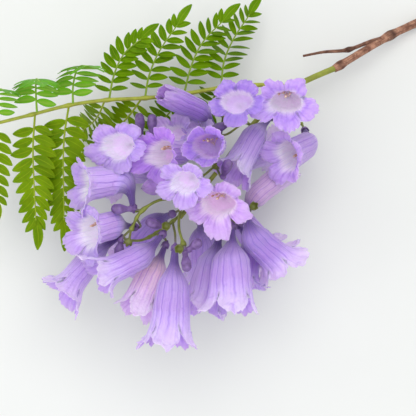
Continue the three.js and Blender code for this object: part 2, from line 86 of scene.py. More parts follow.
def smooth_line(points, count):
    """Points evenly spaced along a centripetal Catmull-Rom line.

    Between two given points the line is a cubic. Its slope at each of them comes from the gaps to both
    neighbours, weighted by the square roots of those gaps. It is sampled finely, and then evenly by length.
    """
    given = np.array(points, dtype=float)
    padded = np.vstack([2 * given[0] - given[1], given, 2 * given[-1] - given[-2]])
    t = np.linspace(0, len(given) - 1, 40 * (len(given) - 1) + 1)
    k = np.minimum(t.astype(int), len(given) - 2)
    t = (t - k)[:, None]
    p0, p1, p2, p3 = padded[k], padded[k + 1], padded[k + 2], padded[k + 3]
    d0, d1, d2 = (np.sqrt(np.linalg.norm(b - a, axis=1))[:, None] for a, b in ((p0, p1), (p1, p2), (p2, p3)))
    slope1 = ((p1 - p0) / d0 - (p2 - p0) / (d0 + d1) + (p2 - p1) / d1) * d1
    slope2 = ((p2 - p1) / d1 - (p3 - p1) / (d1 + d2) + (p3 - p2) / d2) * d1
    fine = p1 + slope1 * t + (3 * (p2 - p1) - 2 * slope1 - slope2) * t**2
    fine = fine + (2 * (p1 - p2) + slope1 + slope2) * t**3
    return evenly(fine, count)


def evenly(fine, count):
    """The same line with its points the same length apart."""
    run = np.concatenate([[0], np.cumsum(np.linalg.norm(np.diff(fine, axis=0), axis=1))])
    at = np.linspace(0, run[-1], count)
    return np.stack([np.interp(at, run, fine[:, axis]) for axis in range(3)], axis=1)


def unit(vectors):
    """Vectors at length one."""
    return vectors / np.maximum(np.linalg.norm(vectors, axis=-1, keepdims=True), 1e-12)


def tangents(line):
    """The direction of a line at each of its points, from the points on both sides."""
    return unit(np.gradient(line, axis=0))


def girth(steps, count):
    """Radii at even steps of a limb's length, straight between the given ones and rounded at the corners."""
    share = np.linspace(0, 1, count)
    straight = np.interp(share, [s for s, _ in steps], [r for _, r in steps])
    reach = max(1, count // 60)
    kernel = np.ones(2 * reach + 1) / (2 * reach + 1)
    return np.convolve(np.pad(straight, reach, mode="edge"), kernel, mode="valid")


def limb_skin(line, radius, columns, side=(0.31, 0.22, 0.93), value=0.0):
    """A closed skin round a line.

    At each point of the line there is a ring: its middle plus the radius times the cosine of the angle across
    and the sine beside. The radius may differ at every ring and every angle. A pole closes each end flat.
    """
    along = tangents(line)
    across = unit(np.array(side) - along * (along @ np.array(side))[:, None])
    beside = np.cross(along, across)
    angle = np.linspace(0, 2 * np.pi, columns, endpoint=False)
    if np.ndim(radius) == 1:
        radius = np.repeat(np.asarray(radius)[:, None], columns, axis=1)
    rings = (
        line[:, None, :]
        + (radius * np.cos(angle))[:, :, None] * across[:, None, :]
        + (radius * np.sin(angle))[:, :, None] * beside[:, None, :]
    )
    return ringed(rings, line[0], line[-1], value)


def ringed(rings, first_pole, last_pole, value=0.0, rows=None):
    """A closed skin from a grid of points: rings, quads between neighbours, and a fan to a pole at each end.

    The map's u goes once round, and its v is the row's own value, by default its share of the rows. Each
    point carries a number between 0 and 1 that a material may read. If the volume under the faces, summed
    from triangles, is negative, all faces are turned over.
    """
    count, columns, _ = rings.shape
    points = np.concatenate([rings.reshape(-1, 3), [first_pole], [last_pole]])
    index = np.arange(count * columns).reshape(count, columns)
    turned = np.roll(index, -1, axis=1)
    quads = np.stack([index[:-1], turned[:-1], turned[1:], index[1:]], axis=-1).reshape(-1, 4)
    first, last = count * columns, count * columns + 1
    fans = np.concatenate([
        np.stack([np.full(columns, first), turned[0], index[0]], axis=-1),
        np.stack([np.full(columns, last), index[-1], turned[-1]], axis=-1),
    ])
    v = np.linspace(0, 1, count) if rows is None else np.asarray(rows, dtype=float)
    u0, u1 = np.arange(columns) / columns, np.arange(1, columns + 1) / columns
    quad_u = np.broadcast_to(np.stack([u0, u1, u1, u0], axis=-1), (count - 1, columns, 4))
    row_v = np.stack([v[:-1], v[:-1], v[1:], v[1:]], axis=-1)
    quad_v = np.broadcast_to(row_v[:, None, :], (count - 1, columns, 4))
    half = (u0 + u1) / 2
    fan_u = np.concatenate([np.stack([half, u1, u0], axis=-1), np.stack([half, u0, u1], axis=-1)])
    fan_v = np.concatenate([np.full((columns, 3), v[0]), np.full((columns, 3), v[-1])])
    uv = np.concatenate([
        np.stack([quad_u, quad_v], axis=-1).reshape(-1, 2),
        np.stack([fan_u, fan_v], axis=-1).reshape(-1, 2),
    ])
    if np.ndim(value) == 0:
        values = np.full(len(points), float(value))
    else:
        per_row = np.asarray(value, dtype=float)
        values = np.concatenate([np.repeat(per_row, columns), [per_row[0]], [per_row[-1]]])
    halves = np.concatenate([quads[:, [0, 1, 2]], quads[:, [0, 2, 3]], fans])
    a, b, c = points[halves[:, 0]], points[halves[:, 1]], points[halves[:, 2]]
    if np.sum(a * np.cross(b - a, c - a)) < 0:
        quad_uv = uv[: 4 * len(quads)].reshape(-1, 4, 2)[:, ::-1].reshape(-1, 2)
        fan_uv = uv[4 * len(quads):].reshape(-1, 3, 2)[:, ::-1].reshape(-1, 2)
        uv = np.concatenate([quad_uv, fan_uv])
        quads, fans = quads[:, ::-1], fans[:, ::-1]
    return {"points": points, "quads": quads, "fans": fans, "uv": uv, "values": values}


def make_piece(name, skins, material, node=None):
    """One object of all its skins, with their map and their number, put into the mesh as whole arrays."""
    start = np.concatenate([[0], np.cumsum([len(s["points"]) for s in skins])[:-1]]).astype(int)
    points = np.concatenate([s["points"] for s in skins]) / 1000
    quads = np.concatenate([s["quads"] + at for s, at in zip(skins, start)])
    fans = np.concatenate([s["fans"] + at for s, at in zip(skins, start)])
    uv = np.concatenate(
        [s["uv"][: 4 * len(s["quads"])] for s in skins] + [s["uv"][4 * len(s["quads"]):] for s in skins]
    )
    sizes = np.concatenate([np.full(len(quads), 4), np.full(len(fans), 3)])
    mesh = bpy.data.meshes.new(name)
    mesh.vertices.add(len(points))
    mesh.vertices.foreach_set("co", points.ravel())
    mesh.loops.add(int(sizes.sum()))
    mesh.loops.foreach_set("vertex_index", np.concatenate([quads.ravel(), fans.ravel()]).astype(np.int32))
    mesh.polygons.add(len(sizes))
    mesh.polygons.foreach_set("loop_start", np.concatenate([[0], np.cumsum(sizes)[:-1]]).astype(np.int32))
    mesh.update(calc_edges=True)
    mesh.uv_layers.new(name="map").data.foreach_set("uv", uv.ravel())
    values = np.concatenate([s["values"] for s in skins])
    mesh.attributes.new("part", "FLOAT", "POINT").data.foreach_set("value", values)
    mesh.polygons.foreach_set("use_smooth", np.ones(len(sizes), dtype=bool))
    mesh.materials.append(material)
    piece = bpy.data.objects.new(name, mesh)
    bpy.context.scene.collection.objects.link(piece)
    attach(piece, "root")
    if node:
        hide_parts(node)
    return piece


def node_group(name, inputs, outputs):
    """An empty shader group with named sockets, each given as its kind and, if put in, its first value."""
    group = bpy.data.node_groups.new(name, "ShaderNodeTree")
    for label, (kind, value) in inputs.items():
        socket = group.interface.new_socket(label, in_out="INPUT", socket_type=kind)
        if value is not None:
            socket.default_value = value
    for label, kind in outputs.items():
        group.interface.new_socket(label, in_out="OUTPUT", socket_type=kind)
    return group, group.nodes.new("NodeGroupInput"), group.nodes.new("NodeGroupOutput")


def node(tree, kind, settings=None, **inputs):
    """A shader node with its settings, and with each input set to a value or linked to a socket.

    An input goes by its name, or by i and its number.
    """
    made = tree.nodes.new(kind)
    for key, value in (settings or {}).items():
        setattr(made, key, value)
    for key, value in inputs.items():
        numbered = key[0] == "i" and key[1:].isdigit()
        socket = made.inputs[int(key[1:])] if numbered else made.inputs[key.replace("_", " ")]
        if isinstance(value, bpy.types.NodeSocket):
            tree.links.new(value, socket)
        else:
            socket.default_value = value
    return made


def maths(tree, operation, a, b=0.0, c=0.0):
    """The result of one sum on values or sockets."""
    return node(tree, "ShaderNodeMath", {"operation": operation}, i0=a, i1=b, i2=c).outputs[0]


def mixed(tree, factor, a, b):
    """Two colours mixed by a factor."""
    made = node(tree, "ShaderNodeMix", {"data_type": "RGBA"}, i0=factor, i6=a, i7=b)
    return made.outputs[2]


def ramp(tree, value, low, high, **settings):
    """Zero at one value, one at another, and clamped beyond both."""
    return node(tree, "ShaderNodeMapRange", settings, Value=value, From_Min=low, From_Max=high).outputs[0]


def noise(tree, where, scale, **more):
    """A noise between 0 and 1."""
    return node(tree, "ShaderNodeTexNoise", Vector=where, Scale=scale, **more).outputs[0]


def own_number(tree):
    """The number that each point of a piece carries."""
    return node(tree, "ShaderNodeAttribute", {"attribute_name": "part"}).outputs["Fac"]


def on_map(tree):
    """The place on a piece's map."""
    return node(tree, "ShaderNodeUVMap", {"uv_map": "map"}).outputs[0]


def srgb(r, g, b):
    """A colour as it is read off a screen, from 0 to 255, as linear light."""
    c = np.array([r, g, b]) / 255
    linear = np.where(c <= 0.04045, c / 12.92, ((c + 0.055) / 1.055) ** 2.4)
    return (*linear.tolist(), 1.0)


# Living tissue is never one colour: this group gives blotches of a second colour, and a fine grain as height.
mottle, given, result = node_group(
    "mottle",
    {
        "Colour": ("NodeSocketColor", (0.5, 0.5, 0.5, 1)),
        "Blotch": ("NodeSocketColor", (0.3, 0.3, 0.3, 1)),
        "Amount": ("NodeSocketFloat", 0.5),
        "Blotch Scale": ("NodeSocketFloat", 150),
        "Grain Scale": ("NodeSocketFloat", 1500),
    },
    {"Colour": "NodeSocketColor", "Grain": "NodeSocketFloat"},
)
where = node(mottle, "ShaderNodeTexCoord").outputs["Object"]
blotches = ramp(mottle, noise(mottle, where, given.outputs["Blotch Scale"], Detail=3.0), 0.38, 0.66)
grain = noise(mottle, where, given.outputs["Grain Scale"], Detail=2.0)
share = maths(mottle, "MULTIPLY", blotches, given.outputs["Amount"])
blotched = mixed(mottle, share, given.outputs["Colour"], given.outputs["Blotch"])
mottle.links.new(blotched, result.inputs["Colour"])
mottle.links.new(grain, result.inputs["Grain"])


def use_group(tree, group, **inputs):
    """A shader group placed in a tree, with its named inputs set."""
    return node(tree, "ShaderNodeGroup", {"node_tree": group}, **inputs).outputs


def tissue(tree, colour, blotch, amount, blotch_scale, grain_scale):
    """The mottle group between two colours."""
    return use_group(
        tree, mottle, Colour=srgb(*colour), Blotch=srgb(*blotch), Amount=amount, Blotch_Scale=blotch_scale,
        Grain_Scale=grain_scale,
    )


def new_material(name):
    """A material with an empty tree but for its shader and output."""
    material = bpy.data.materials.new(name)
    material.use_nodes = True
    return material, material.node_tree, material.node_tree.nodes["Principled BSDF"]


def surface(tree, shader, colour, roughness, height=None, strength=0.0, distance=0.0):
    """The shader takes its colour and roughness, and a bump from a height that is so many metres deep."""
    tree.links.new(colour, shader.inputs["Base Color"])
    shader.inputs["Roughness"].default_value = roughness
    if height is not None:
        bump = node(tree, "ShaderNodeBump", Height=height, Strength=strength, Distance=distance)
        tree.links.new(bump.outputs[0], shader.inputs["Normal"])


# Bark: the piece's number is 1 on a knot, which is darker. Pores are small cells stretched round the twig.
bark, tree, shader = new_material("bark")
streaky = node(tree, "ShaderNodeMapping", Vector=on_map(tree), Scale=(14.0, 3.0, 1.0)).outputs[0]
cracked = ramp(tree, noise(tree, streaky, 2.2, Detail=5.0, Roughness=0.65), 0.5, 0.7)
stretched = node(tree, "ShaderNodeMapping", Vector=on_map(tree), Scale=(5.0, 26.0, 1.0)).outputs[0]
pores = node(tree, "ShaderNodeTexVoronoi", Vector=stretched, Scale=1.0).outputs["Distance"]
pore_mask = ramp(tree, pores, 0.2, 0.1)
tones = tissue(tree, (190, 140, 112), (112, 68, 50), 0.9, 330.0, 2400.0)
colour = mixed(tree, maths(tree, "MULTIPLY", cracked, 0.85), tones["Colour"], srgb(74, 44, 32))
colour = mixed(tree, maths(tree, "MULTIPLY", pore_mask, 0.75), colour, srgb(206, 170, 140))
colour = mixed(tree, maths(tree, "MULTIPLY", own_number(tree), 0.8), colour, srgb(62, 34, 24))
relief = maths(tree, "MULTIPLY_ADD", tones["Grain"], 0.4, maths(tree, "SUBTRACT", pore_mask, cracked))
surface(tree, shader, colour, 0.85, relief, 0.8, 0.0004)

chance = np.random.default_rng(7)


def bark_relief(count, columns, depth):
    """How far bark stands out, ring by ring: slow bumps along and round, and long narrow ridges.

    It is a sum of sines. Each has its own whole number of waves round the limb, its own waves along it and a
    seeded start.
    """
    share = np.linspace(0, 1, count)[:, None]
    angle = np.linspace(0, 2 * np.pi, columns, endpoint=False)[None, :]
    relief = np.zeros((count, columns))
    for waves_round, waves_along, height in BARK_WAVES:
        start = chance.uniform(0, 2 * np.pi, 2)
        relief += height * np.sin(waves_round * angle + start[0]) * np.sin(waves_along * share * 2 + start[1])
    return depth * relief


def bump_at(count, middle, width):
    """A bell curve along a limb: the exponential of minus the squared distance from its middle in widths."""
    return np.exp(-(((np.linspace(0, 1, count) - middle) / width) ** 2))


twig_radius = girth(TWIG_GIRTH, TWIG_ROWS)[:, None] + bark_relief(TWIG_ROWS, TWIG_COLUMNS, 0.045)
side_radius = girth(SIDE_TWIG_GIRTH, SIDE_ROWS)[:, None] + bark_relief(SIDE_ROWS, SIDE_COLUMNS, 0.03)
twig_knots = bump_at(TWIG_ROWS, 0.42, 0.03) + 0.7 * bump_at(TWIG_ROWS, 0.94, 0.025)
# The side twig's number is half a knot's all along it, so it is darker all along, and darker still at its
# node.
side_darkening = 0.5 + 0.5 * bump_at(SIDE_ROWS, 0.51, 0.05)
twig_line = smooth_line(TWIG_LINE, TWIG_ROWS)
make_piece(
    "woody_twig",
    [
        limb_skin(twig_line, twig_radius, TWIG_COLUMNS, value=twig_knots),
        limb_skin(smooth_line(SIDE_TWIG_LINE, SIDE_ROWS), side_radius, SIDE_COLUMNS, value=side_darkening),
    ],
    bark, "twig",
)


# The panicle's main stem is green and juicy, a little ribbed, and grows on from inside the twig's last node.
# The stalks and the leaf's rachis are the same tissue, which turns violet brown on the calyces and buds.
MAIN_STEM_LINE = [
    place(312, 78, -21), place(292, 88, -17), place(270, 106, -12), place(250, 128, -7),
    place(232, 152, -3), place(212, 178, 0), place(194, 200, 3), place(180, 218, 5),
]
MAIN_STEM_RADIUS = (1.55, 0.95)
MAIN_STEM_ROWS, MAIN_STEM_COLUMNS = 240, 30
STEM_ROOT = 1.5

# The piece's number goes from 0, yellow green, by 0.2, olive, to 1, violet.
green_stem, tree, shader = new_material("green_stem")
ripeness = own_number(tree)
fresh = tissue(tree, (172, 178, 56), (138, 144, 40), 0.7, 320.0, 3000.0)
olive = tissue(tree, (128, 138, 48), (96, 104, 34), 0.7, 320.0, 3000.0)
violet = tissue(tree, (128, 98, 156), (84, 58, 102), 0.7, 420.0, 3000.0)
shaded = ramp(tree, ripeness, 0.0, 0.2)
turned = ramp(tree, ripeness, 0.25, 0.75)
colour = mixed(tree, turned, mixed(tree, shaded, fresh["Colour"], olive["Colour"]), violet["Colour"])
surface(tree, shader, colour, 0.5, fresh["Grain"], 0.25, 0.0002)

stem_root = twig_line[-1] - STEM_ROOT * tangents(twig_line)[-1]
stem_line = smooth_line([stem_root, *MAIN_STEM_LINE], MAIN_STEM_ROWS)
ribs = 0.05 * np.cos(5 * np.linspace(0, 2 * np.pi, MAIN_STEM_COLUMNS, endpoint=False))[None, :]
stem_radius = np.linspace(*MAIN_STEM_RADIUS, MAIN_STEM_ROWS)[:, None] + ribs
stem_skin = limb_skin(stem_line, stem_radius, MAIN_STEM_COLUMNS, value=0.12)
make_piece("main_stem", [stem_skin], green_stem, "panicle_stem")


# Each bloom is one petal tube: a thin dark neck, a belly that opens suddenly, and five frilled lobes. It is
# one thin wall folded over at the lip, with faint ribs, and darker lines run from neck to lip.
COROLLA_LENGTH = 38
NECK_BEND = (4, 24)
FLATNESS = (0.95, 0.76, 0.92)
LOBES = 5
LOBE_LENGTHS = (11.2, 10.0, 8.8, 8.8, 10.0)
NOTCH_LENGTHS = (1.2, 1.4, 0.6, 1.4, 1.2)
OPEN_FLARE = (50, 64, 84, 84, 64)
SHUT_FLARE = (-74, -70, -66, -70, -74)
COLUMNS_PER_LOBE = 30
LIMB_FROM = 31
NOTCHES_FROM = 36
TUBE_ROWS, LIMB_ROWS = 28, 20
WALL = 0.42
LIP_WALL = 0.22
NECK_RADIUS = 1.6
# How much the radius grows, and between which lengths along the tube.
TUBE_SWELLS = [(0.4, 0, 6), (5.7, 5, 18), (1.0, 15, LIMB_FROM)]
# The limits within which each lobe differs: its length, its notch, its skew, how square it is, its cleft's
# depth and place, how far it flares when open or shut, its twist, and the degrees that its edge rolls.
LENGTH_VARIES = (-0.16, 0.1)
NOTCH_VARIES = (0.2, 1.6)
SKEW = (-0.25, 0.25)
SQUARE_VARIES = (0.75, 1.25)
CLEFT_DEPTH, CLEFT_PLACE, CLEFT_WIDTH = (-0.17, 0.09), (-0.3, 0.3), 0.2
OPEN_VARIES, SHUT_VARIES = (0.65, 1.3), (0.94, 1.04)
TWIST = (-0.35, 0.35)
EDGE_ROLL = (5, 40)
LIP_WAVES = [(4, 3.0, 0.4), (7, -4.0, 0.3), (11, 6.0, 0.2), (18, -7.0, 0.14), (25, 5.0, 0.1)]
INNER_FLOOR = 20
FUNNEL = 8
FLOOR_PRESS = 1.5
DROOP = (0, -1, 0.3)
# A bloom goes from its seat, where its calyx is, to its mouth. Its neck bends by so many degrees towards its
# droop. Open goes from 0, shut, to 1. Lip and girth are shares of the usual lobe length and tube width.
BLOOMS = {
    "crown_left": dict(seat=(217, 131, -10), mouth=(170, 98, 3), open=0.25, tint="deep"),
    "crown_middle": dict(seat=(243, 112, -3), mouth=(236, 101, 28), bend=8, lip=0.76, tint="cool"),
    "crown_behind": dict(seat=(218, 136, -34), mouth=(201, 137, -9), bend=8, tint="blue_shaded"),
    "crown_right": dict(
        seat=(291, 97, -10), mouth=(285, 104, 28), bend=10, lip=0.8, girth=0.84, tint="pale_lit",
    ),
    "right_upper": dict(seat=(271, 117, -4), mouth=(237, 166, 9), bend=12, open=0.45, girth=1.1),
    "right_outer": dict(
        seat=(305, 131, -18), mouth=(284, 158, 8), bend=50, droop=(-0.7, -0.3, 0.6), lip=0.76,
    ),
    "upper_middle": dict(seat=(197, 157, 0), mouth=(157, 154, 28), bend=12, tint="violet"),
    "upper_behind": dict(seat=(187, 152, -31), mouth=(171.5, 134, -6)),
    "upper_left": dict(seat=(138, 147, -7), mouth=(115.5, 147, 27), bend=8, lip=0.76, tint="pale_lit"),
    "left_upper": dict(
        seat=(133, 207, 19), mouth=(81, 185, 24), bend=95, lip=0.78, girth=1.22, tint="pale_lit",
    ),
    "left_lower": dict(seat=(134, 227, 6), mouth=(85, 232, 25), bend=20, girth=1.35, tint="pale_lit"),
    "left_inner": dict(seat=(192, 190, 14), mouth=(148, 187, 26), open=0, tint="shut"),
    "bottom_outer": dict(
        seat=(118, 238, -4), mouth=(68, 287, 4), bend=20, open=0.7, lip=1.15, girth=1.08, tint="pale_lit",
    ),
    "bottom_left": dict(
        seat=(162, 235, 19), mouth=(106, 272, 25), bend=25, droop=(-1, -0.2, 0.3), open=0.7, lip=1.15,
        girth=1.14,
    ),
    # This bloom lies in shade and takes a lighter copy of the pink tint: painted light.
    "bottom_behind": dict(
        seat=(165, 246, 4), mouth=(141, 303, 10), bend=15, droop=(-0.2, -0.4, 1), open=0.6, lip=1.1,
        girth=1.12, tint="pink_painted_light",
    ),
    "bottom_middle": dict(
        seat=(175, 249, 26), mouth=(169, 331, 29), bend=10, droop=(-0.15, -0.6, 1), open=0.64, lip=1.12,
        girth=0.95,
    ),
    "front_right": dict(
        seat=(230, 197, 9), mouth=(215.5, 206, 43), bend=12, lip=0.9, lobes=(11.6, 10.5, 9.0, 4.5, 8.5),
        tint="pink",
    ),
    "bottom_right": dict(
        seat=(232, 228, 20), mouth=(231, 300, 26), bend=10, droop=(0, -0.4, 1), open=0.66, lip=1.05,
        girth=1.3,
    ),
    "bottom_inner": dict(
        seat=(220, 232, 4), mouth=(205, 300, 9), bend=15, droop=(-0.2, -0.4, 1), open=0.66, lip=1.1,
        girth=1.12, tint="pale_lit",
    ),
    "lower_right": dict(
        seat=(246, 211, 21), mouth=(278, 260, 12), bend=40, droop=(0.7, 0, -0.5), open=0.95, lip=1.15,
        girth=1.25, tint="blue_shaded",
    ),
    "lower_behind": dict(seat=(240, 226, -6), mouth=(247, 284, 2), tint="blue_shaded"),
    "right_lower": dict(
        seat=(241, 217, -8), mouth=(283, 175, -11), bend=20, open=0.3, girth=1.15, tint="pink",
    ),
    "front_left": dict(seat=(198, 178, 23), mouth=(183.5, 183.5, 51), bend=12, lip=0.88, tint="pale_lit"),
    # This bloom's inside lies in shade, painted as a darker copy of the plain tint.
    "upper_right": dict(
        seat=(220, 149, 7), mouth=(206, 146, 38), bend=12, open=0.55, lip=0.9, tint="plain_painted_shade",
    ),
    "back_left": dict(seat=(166, 186, -14), mouth=(120, 172, -35.5)),
    "back_right": dict(seat=(232, 180, -14), mouth=(272, 150, -34.6), tint="pale_lit"),
    "back_lower_right": dict(seat=(226, 214, -16), mouth=(262, 250, -36)),
    "back_lower_left": dict(seat=(172, 214, -14), mouth=(136.5, 254, -35.27), tint="blue_shaded"),
    "back_bottom": dict(seat=(200, 222, -18), mouth=(204, 274, -37.8)),
}
USUAL_BLOOM = dict(bend=35, droop=DROOP, open=1, lip=1, girth=1, lobes=LOBE_LENGTHS, tint="plain")
for name, own_ways in BLOOMS.items():
    bloom = BLOOMS[name] = {**USUAL_BLOOM, **own_ways}
    bloom["seat"], bloom["mouth"] = place(*bloom["seat"]), place(*bloom["mouth"])


def ease(low, high, x):
    """Zero below one value, one above another, and a smooth S between them."""
    t = np.clip((np.asarray(x, dtype=float) - low) / (high - low), 0, 1)
    return t * t * (3 - 2 * t)


def spine(bend, along):
    """The corolla's middle line: where it is and how far it has turned at lengths along it.

    Its turn grows as a smooth S between two lengths. The place is the running sum of small steps that way. It
    is then leaned so that the straight line from calyx to throat is the z axis.
    """
    fine = np.linspace(0, 70, 1401)
    turn = np.radians(bend) * ease(*NECK_BEND, fine)
    step = fine[1]
    x = np.concatenate([[0], np.cumsum(np.sin((turn[1:] + turn[:-1]) / 2)) * step])
    z = np.concatenate([[0], np.cumsum(np.cos((turn[1:] + turn[:-1]) / 2)) * step])
    throat_x, throat_z = np.interp(COROLLA_LENGTH, fine, x), np.interp(COROLLA_LENGTH, fine, z)
    lean = math.atan2(throat_x, throat_z)
    px, pz, angle = (np.interp(along, fine, values) for values in (x, z, turn))
    return (
        px * math.cos(lean) - pz * math.sin(lean),
        px * math.sin(lean) + pz * math.cos(lean),
        angle - lean,
        lean,
        math.hypot(throat_x, throat_z),
    )


def stance(bloom):
    """A bloom's axes, as rows, with its size and the way its base points.

    They are x to its drooping side, y beside it, and z from calyx to throat.
    """
    forward = bloom["mouth"] - bloom["seat"]
    length = np.linalg.norm(forward)
    forward = forward / length
    droop = np.array(bloom["droop"], dtype=float)
    down = unit(droop - forward * (droop @ forward))
    _, _, _, lean, chord = spine(bloom["bend"], 0.0)
    base_way = forward * math.cos(lean) - down * math.sin(lean)
    return np.stack([down, np.cross(forward, down), forward]), length / chord, base_way


def rough(own, around, low, high, fall):
    """Unevenness round a ring: waves of every count between two, of random heights that fall with it."""
    counts = np.arange(low, high)
    heights = own.normal(0, 1, len(counts)) * (low / counts) ** fall
    starts = own.uniform(0, 6.3, len(counts))
    waves = heights[:, None] * np.sin(counts[:, None] * around[None, :] + starts[:, None])
    return waves.sum(axis=0) / math.sqrt((heights**2).sum() / 2)


def corolla_rings(bloom, seed):
    """Rows of rings for both walls of a corolla, in its own axes, each row's place on the map, and two poles.

    The outer wall goes up the tube, whose radius is a sum of smooth steps, and on into the limb. There the
    wall turns outwards by an angle that grows with the way gone. The limb's length at each angle round is a
    notch's, plus the rest of a lobe's times a power of one less a power of the way across the lobe, with
    random nicks. A bloom that is nearly shut has its limb drawn in to a point instead. The margin waves along
    the wall's normal, more towards the edge. The inner wall is the outer one moved in along its normal.
    """
    own = np.random.default_rng(seed)
    spread = bloom["open"]
    q = np.linspace(-1, 1, COLUMNS_PER_LOBE, endpoint=False) + 1 / COLUMNS_PER_LOBE
    w = np.sin(q * np.pi / 2)
    centres = np.arange(LOBES) * 2 * np.pi / LOBES
    around = (centres[:, None] + w[None, :] * np.pi / LOBES).ravel()
    across_lobe = np.tile(w, LOBES)
    lobe = np.repeat(np.arange(LOBES), COLUMNS_PER_LOBE)

    tube = np.linspace(0, LIMB_FROM, TUBE_ROWS)
    radius = NECK_RADIUS + sum(more * ease(low, high, tube) for more, low, high in TUBE_SWELLS)
    radius = radius * (1 + (bloom["girth"] - 1) * ease(2, 14, tube))
    uneven = 1 + 0.7 * np.sin(2 * around + own.uniform(0, 6))
    folds = 0.013 * uneven * np.cos(10 * around + own.uniform(0, 6))
    folds = folds + 0.012 * np.cos(17 * around + own.uniform(0, 6))
    dents = 0.04 * np.sin(2 * around + own.uniform(0, 6)) + 0.045 * np.sin(3 * around + own.uniform(0, 6))
    tube_radius = radius[:, None] * (1 + ease(8, 24, tube)[:, None] * (folds + dents)[None, :])
    tube_along = np.repeat(tube[:, None], len(around), axis=1)

    loose = min(1.0, 0.1 + 1.5 * spread)
    shut = max(0.0, 1 - 3 * spread)
    uneven_lobes = 1 + loose * own.uniform(*LENGTH_VARIES, LOBES)
    lobe_way = NOTCHES_FROM - LIMB_FROM + bloom["lip"] * np.array(bloom["lobes"]) * uneven_lobes
    notch_way = np.array(NOTCH_LENGTHS) * own.uniform(*NOTCH_VARIES, LOBES)
    notch_way = notch_way + NOTCHES_FROM - LIMB_FROM + 2.6 * (1 - spread)
    notch_way = notch_way + (0.95 * lobe_way.mean() - notch_way) * shut
    left_notch, right_notch = notch_way[lobe], notch_way[(lobe + 1) % LOBES]
    notch = left_notch + (right_notch - left_notch) * (across_lobe + 1) / 2
    skewed = across_lobe + own.uniform(*SKEW, LOBES)[lobe] * (1 - across_lobe**2)
    power = (0.2 + 0.45 * spread) * own.uniform(*SQUARE_VARIES, LOBES)[lobe]
    shape = np.maximum(1 - np.abs(skewed) ** 2.7, 0) ** power
    deep, middle = own.uniform(*CLEFT_DEPTH, LOBES)[lobe], own.uniform(*CLEFT_PLACE, LOBES)[lobe]
    cleft = deep * np.exp(-(((skewed - middle) / CLEFT_WIDTH) ** 2))
    nicks = loose * (0.034 * rough(own, around, 14, 70, 0.3) - cleft)
    reach = notch + (lobe_way[lobe] * (1 + nicks) - notch) * shape
    share = np.linspace(0, 1, LIMB_ROWS + 1)[1:]
    way = share[:, None] * reach[None, :]

    open_flare = np.array(OPEN_FLARE) * own.uniform(*OPEN_VARIES, LOBES)
    shut_flare = np.array(SHUT_FLARE) * own.uniform(*SHUT_VARIES, LOBES)
    end_flare = np.radians(shut_flare + (open_flare - shut_flare) * spread**0.85)
    apart = ease(5.0, 11.0, way)
    flare_there = end_flare[lobe][None, :] * apart + end_flare.mean() * (1 - apart)
    twist = own.uniform(*TWIST, LOBES)[lobe][None, :] * across_lobe[None, :] * apart
    cupped = 0.3 * across_lobe[None, :] ** 2 * apart * np.sign(spread - 0.3)
    rolled = np.radians(own.uniform(*EDGE_ROLL, LOBES))[lobe][None, :]
    curl = rolled * ease(0.55, 1.0, share)[:, None] * min(1.0, 2 * spread)
    flare = np.radians(5) + curl + flare_there * (way / lobe_way.mean()) ** 1.15 * (1 + twist + cupped)
    steps = np.diff(np.concatenate([np.zeros((1, len(around))), way]), axis=0)
    limb_radius = tube_radius[-1] + np.cumsum(np.sin(flare) * steps, axis=0)
    limb_along = LIMB_FROM + np.cumsum(np.cos(flare) * steps, axis=0)

    limb_radius = limb_radius + shut * (tube_radius[-1] * (1 - share[:, None] ** 1.7) + 0.5 - limb_radius)
    limb_along = limb_along + shut * (LIMB_FROM + 12.5 * share[:, None] - limb_along)
    all_radius = np.concatenate([tube_radius, np.maximum(limb_radius, 0.5)])
    all_along = np.concatenate([tube_along, limb_along])
    flat = FLATNESS[0] + (FLATNESS[1] - FLATNESS[0]) * ease(6, 26, all_along)
    flat = flat + (FLATNESS[2] - flat) * ease(34, 44, all_along)
    px, pz, angle, _, _ = spine(bloom["bend"], all_along)
    low = all_radius * np.cos(around) * flat
    outer = np.stack(
        [px + low * np.cos(angle), all_radius * np.sin(around), pz - low * np.sin(angle)], axis=-1,
    )

    out = np.concatenate([np.zeros(TUBE_ROWS), share])[:, None]
    broad = 0.6 * rough(own, around, 2, 8, 0.5)
    fine = 0.34 * rough(own, around, 12, 40, 0.7)
    waves = sum(
        height * own.uniform(0.4, 1.5) * np.sin(count * around[None, :] + drift * out + own.uniform(0, 6))
        for count, drift, height in LIP_WAVES
    )
    lift = out**1.6 * broad[None, :] + out**0.8 * ease(0, 0.4, out) * waves + out**4.8 * fine[None, :]
    outer = outer + (min(1.0, 0.3 + 0.8 * spread) * lift)[..., None] * wall_normal(outer)

    first_inner = int(np.searchsorted(tube, INNER_FLOOR))
    thickness = np.concatenate([np.full(TUBE_ROWS, WALL), np.linspace(WALL, LIP_WALL, LIMB_ROWS)])
    inner = (outer - wall_normal(outer) * thickness[:, None, None])[first_inner:][::-1]
    rows_out = np.concatenate([tube / LIMB_FROM * 0.36, 0.36 + 0.14 * share])
    rows_in = 1 - rows_out[first_inner:][::-1]
    floor_x, floor_z, _, _, _ = spine(bloom["bend"], tube[first_inner] - FUNNEL)
    base_x, base_z, _, _, _ = spine(bloom["bend"], 0.0)
    poles = np.array([base_x, 0, base_z]), np.array([floor_x, 0, floor_z])
    return np.concatenate([outer, inner]), np.concatenate([rows_out, rows_in]), poles


def wall_normal(grid):
    """The outward direction at each point of a ring grid: the cross product of neighbours' differences."""
    round_way = np.roll(grid, -1, axis=1) - np.roll(grid, 1, axis=1)
    up_way = np.gradient(grid, axis=0)
    return unit(np.cross(round_way, up_way))
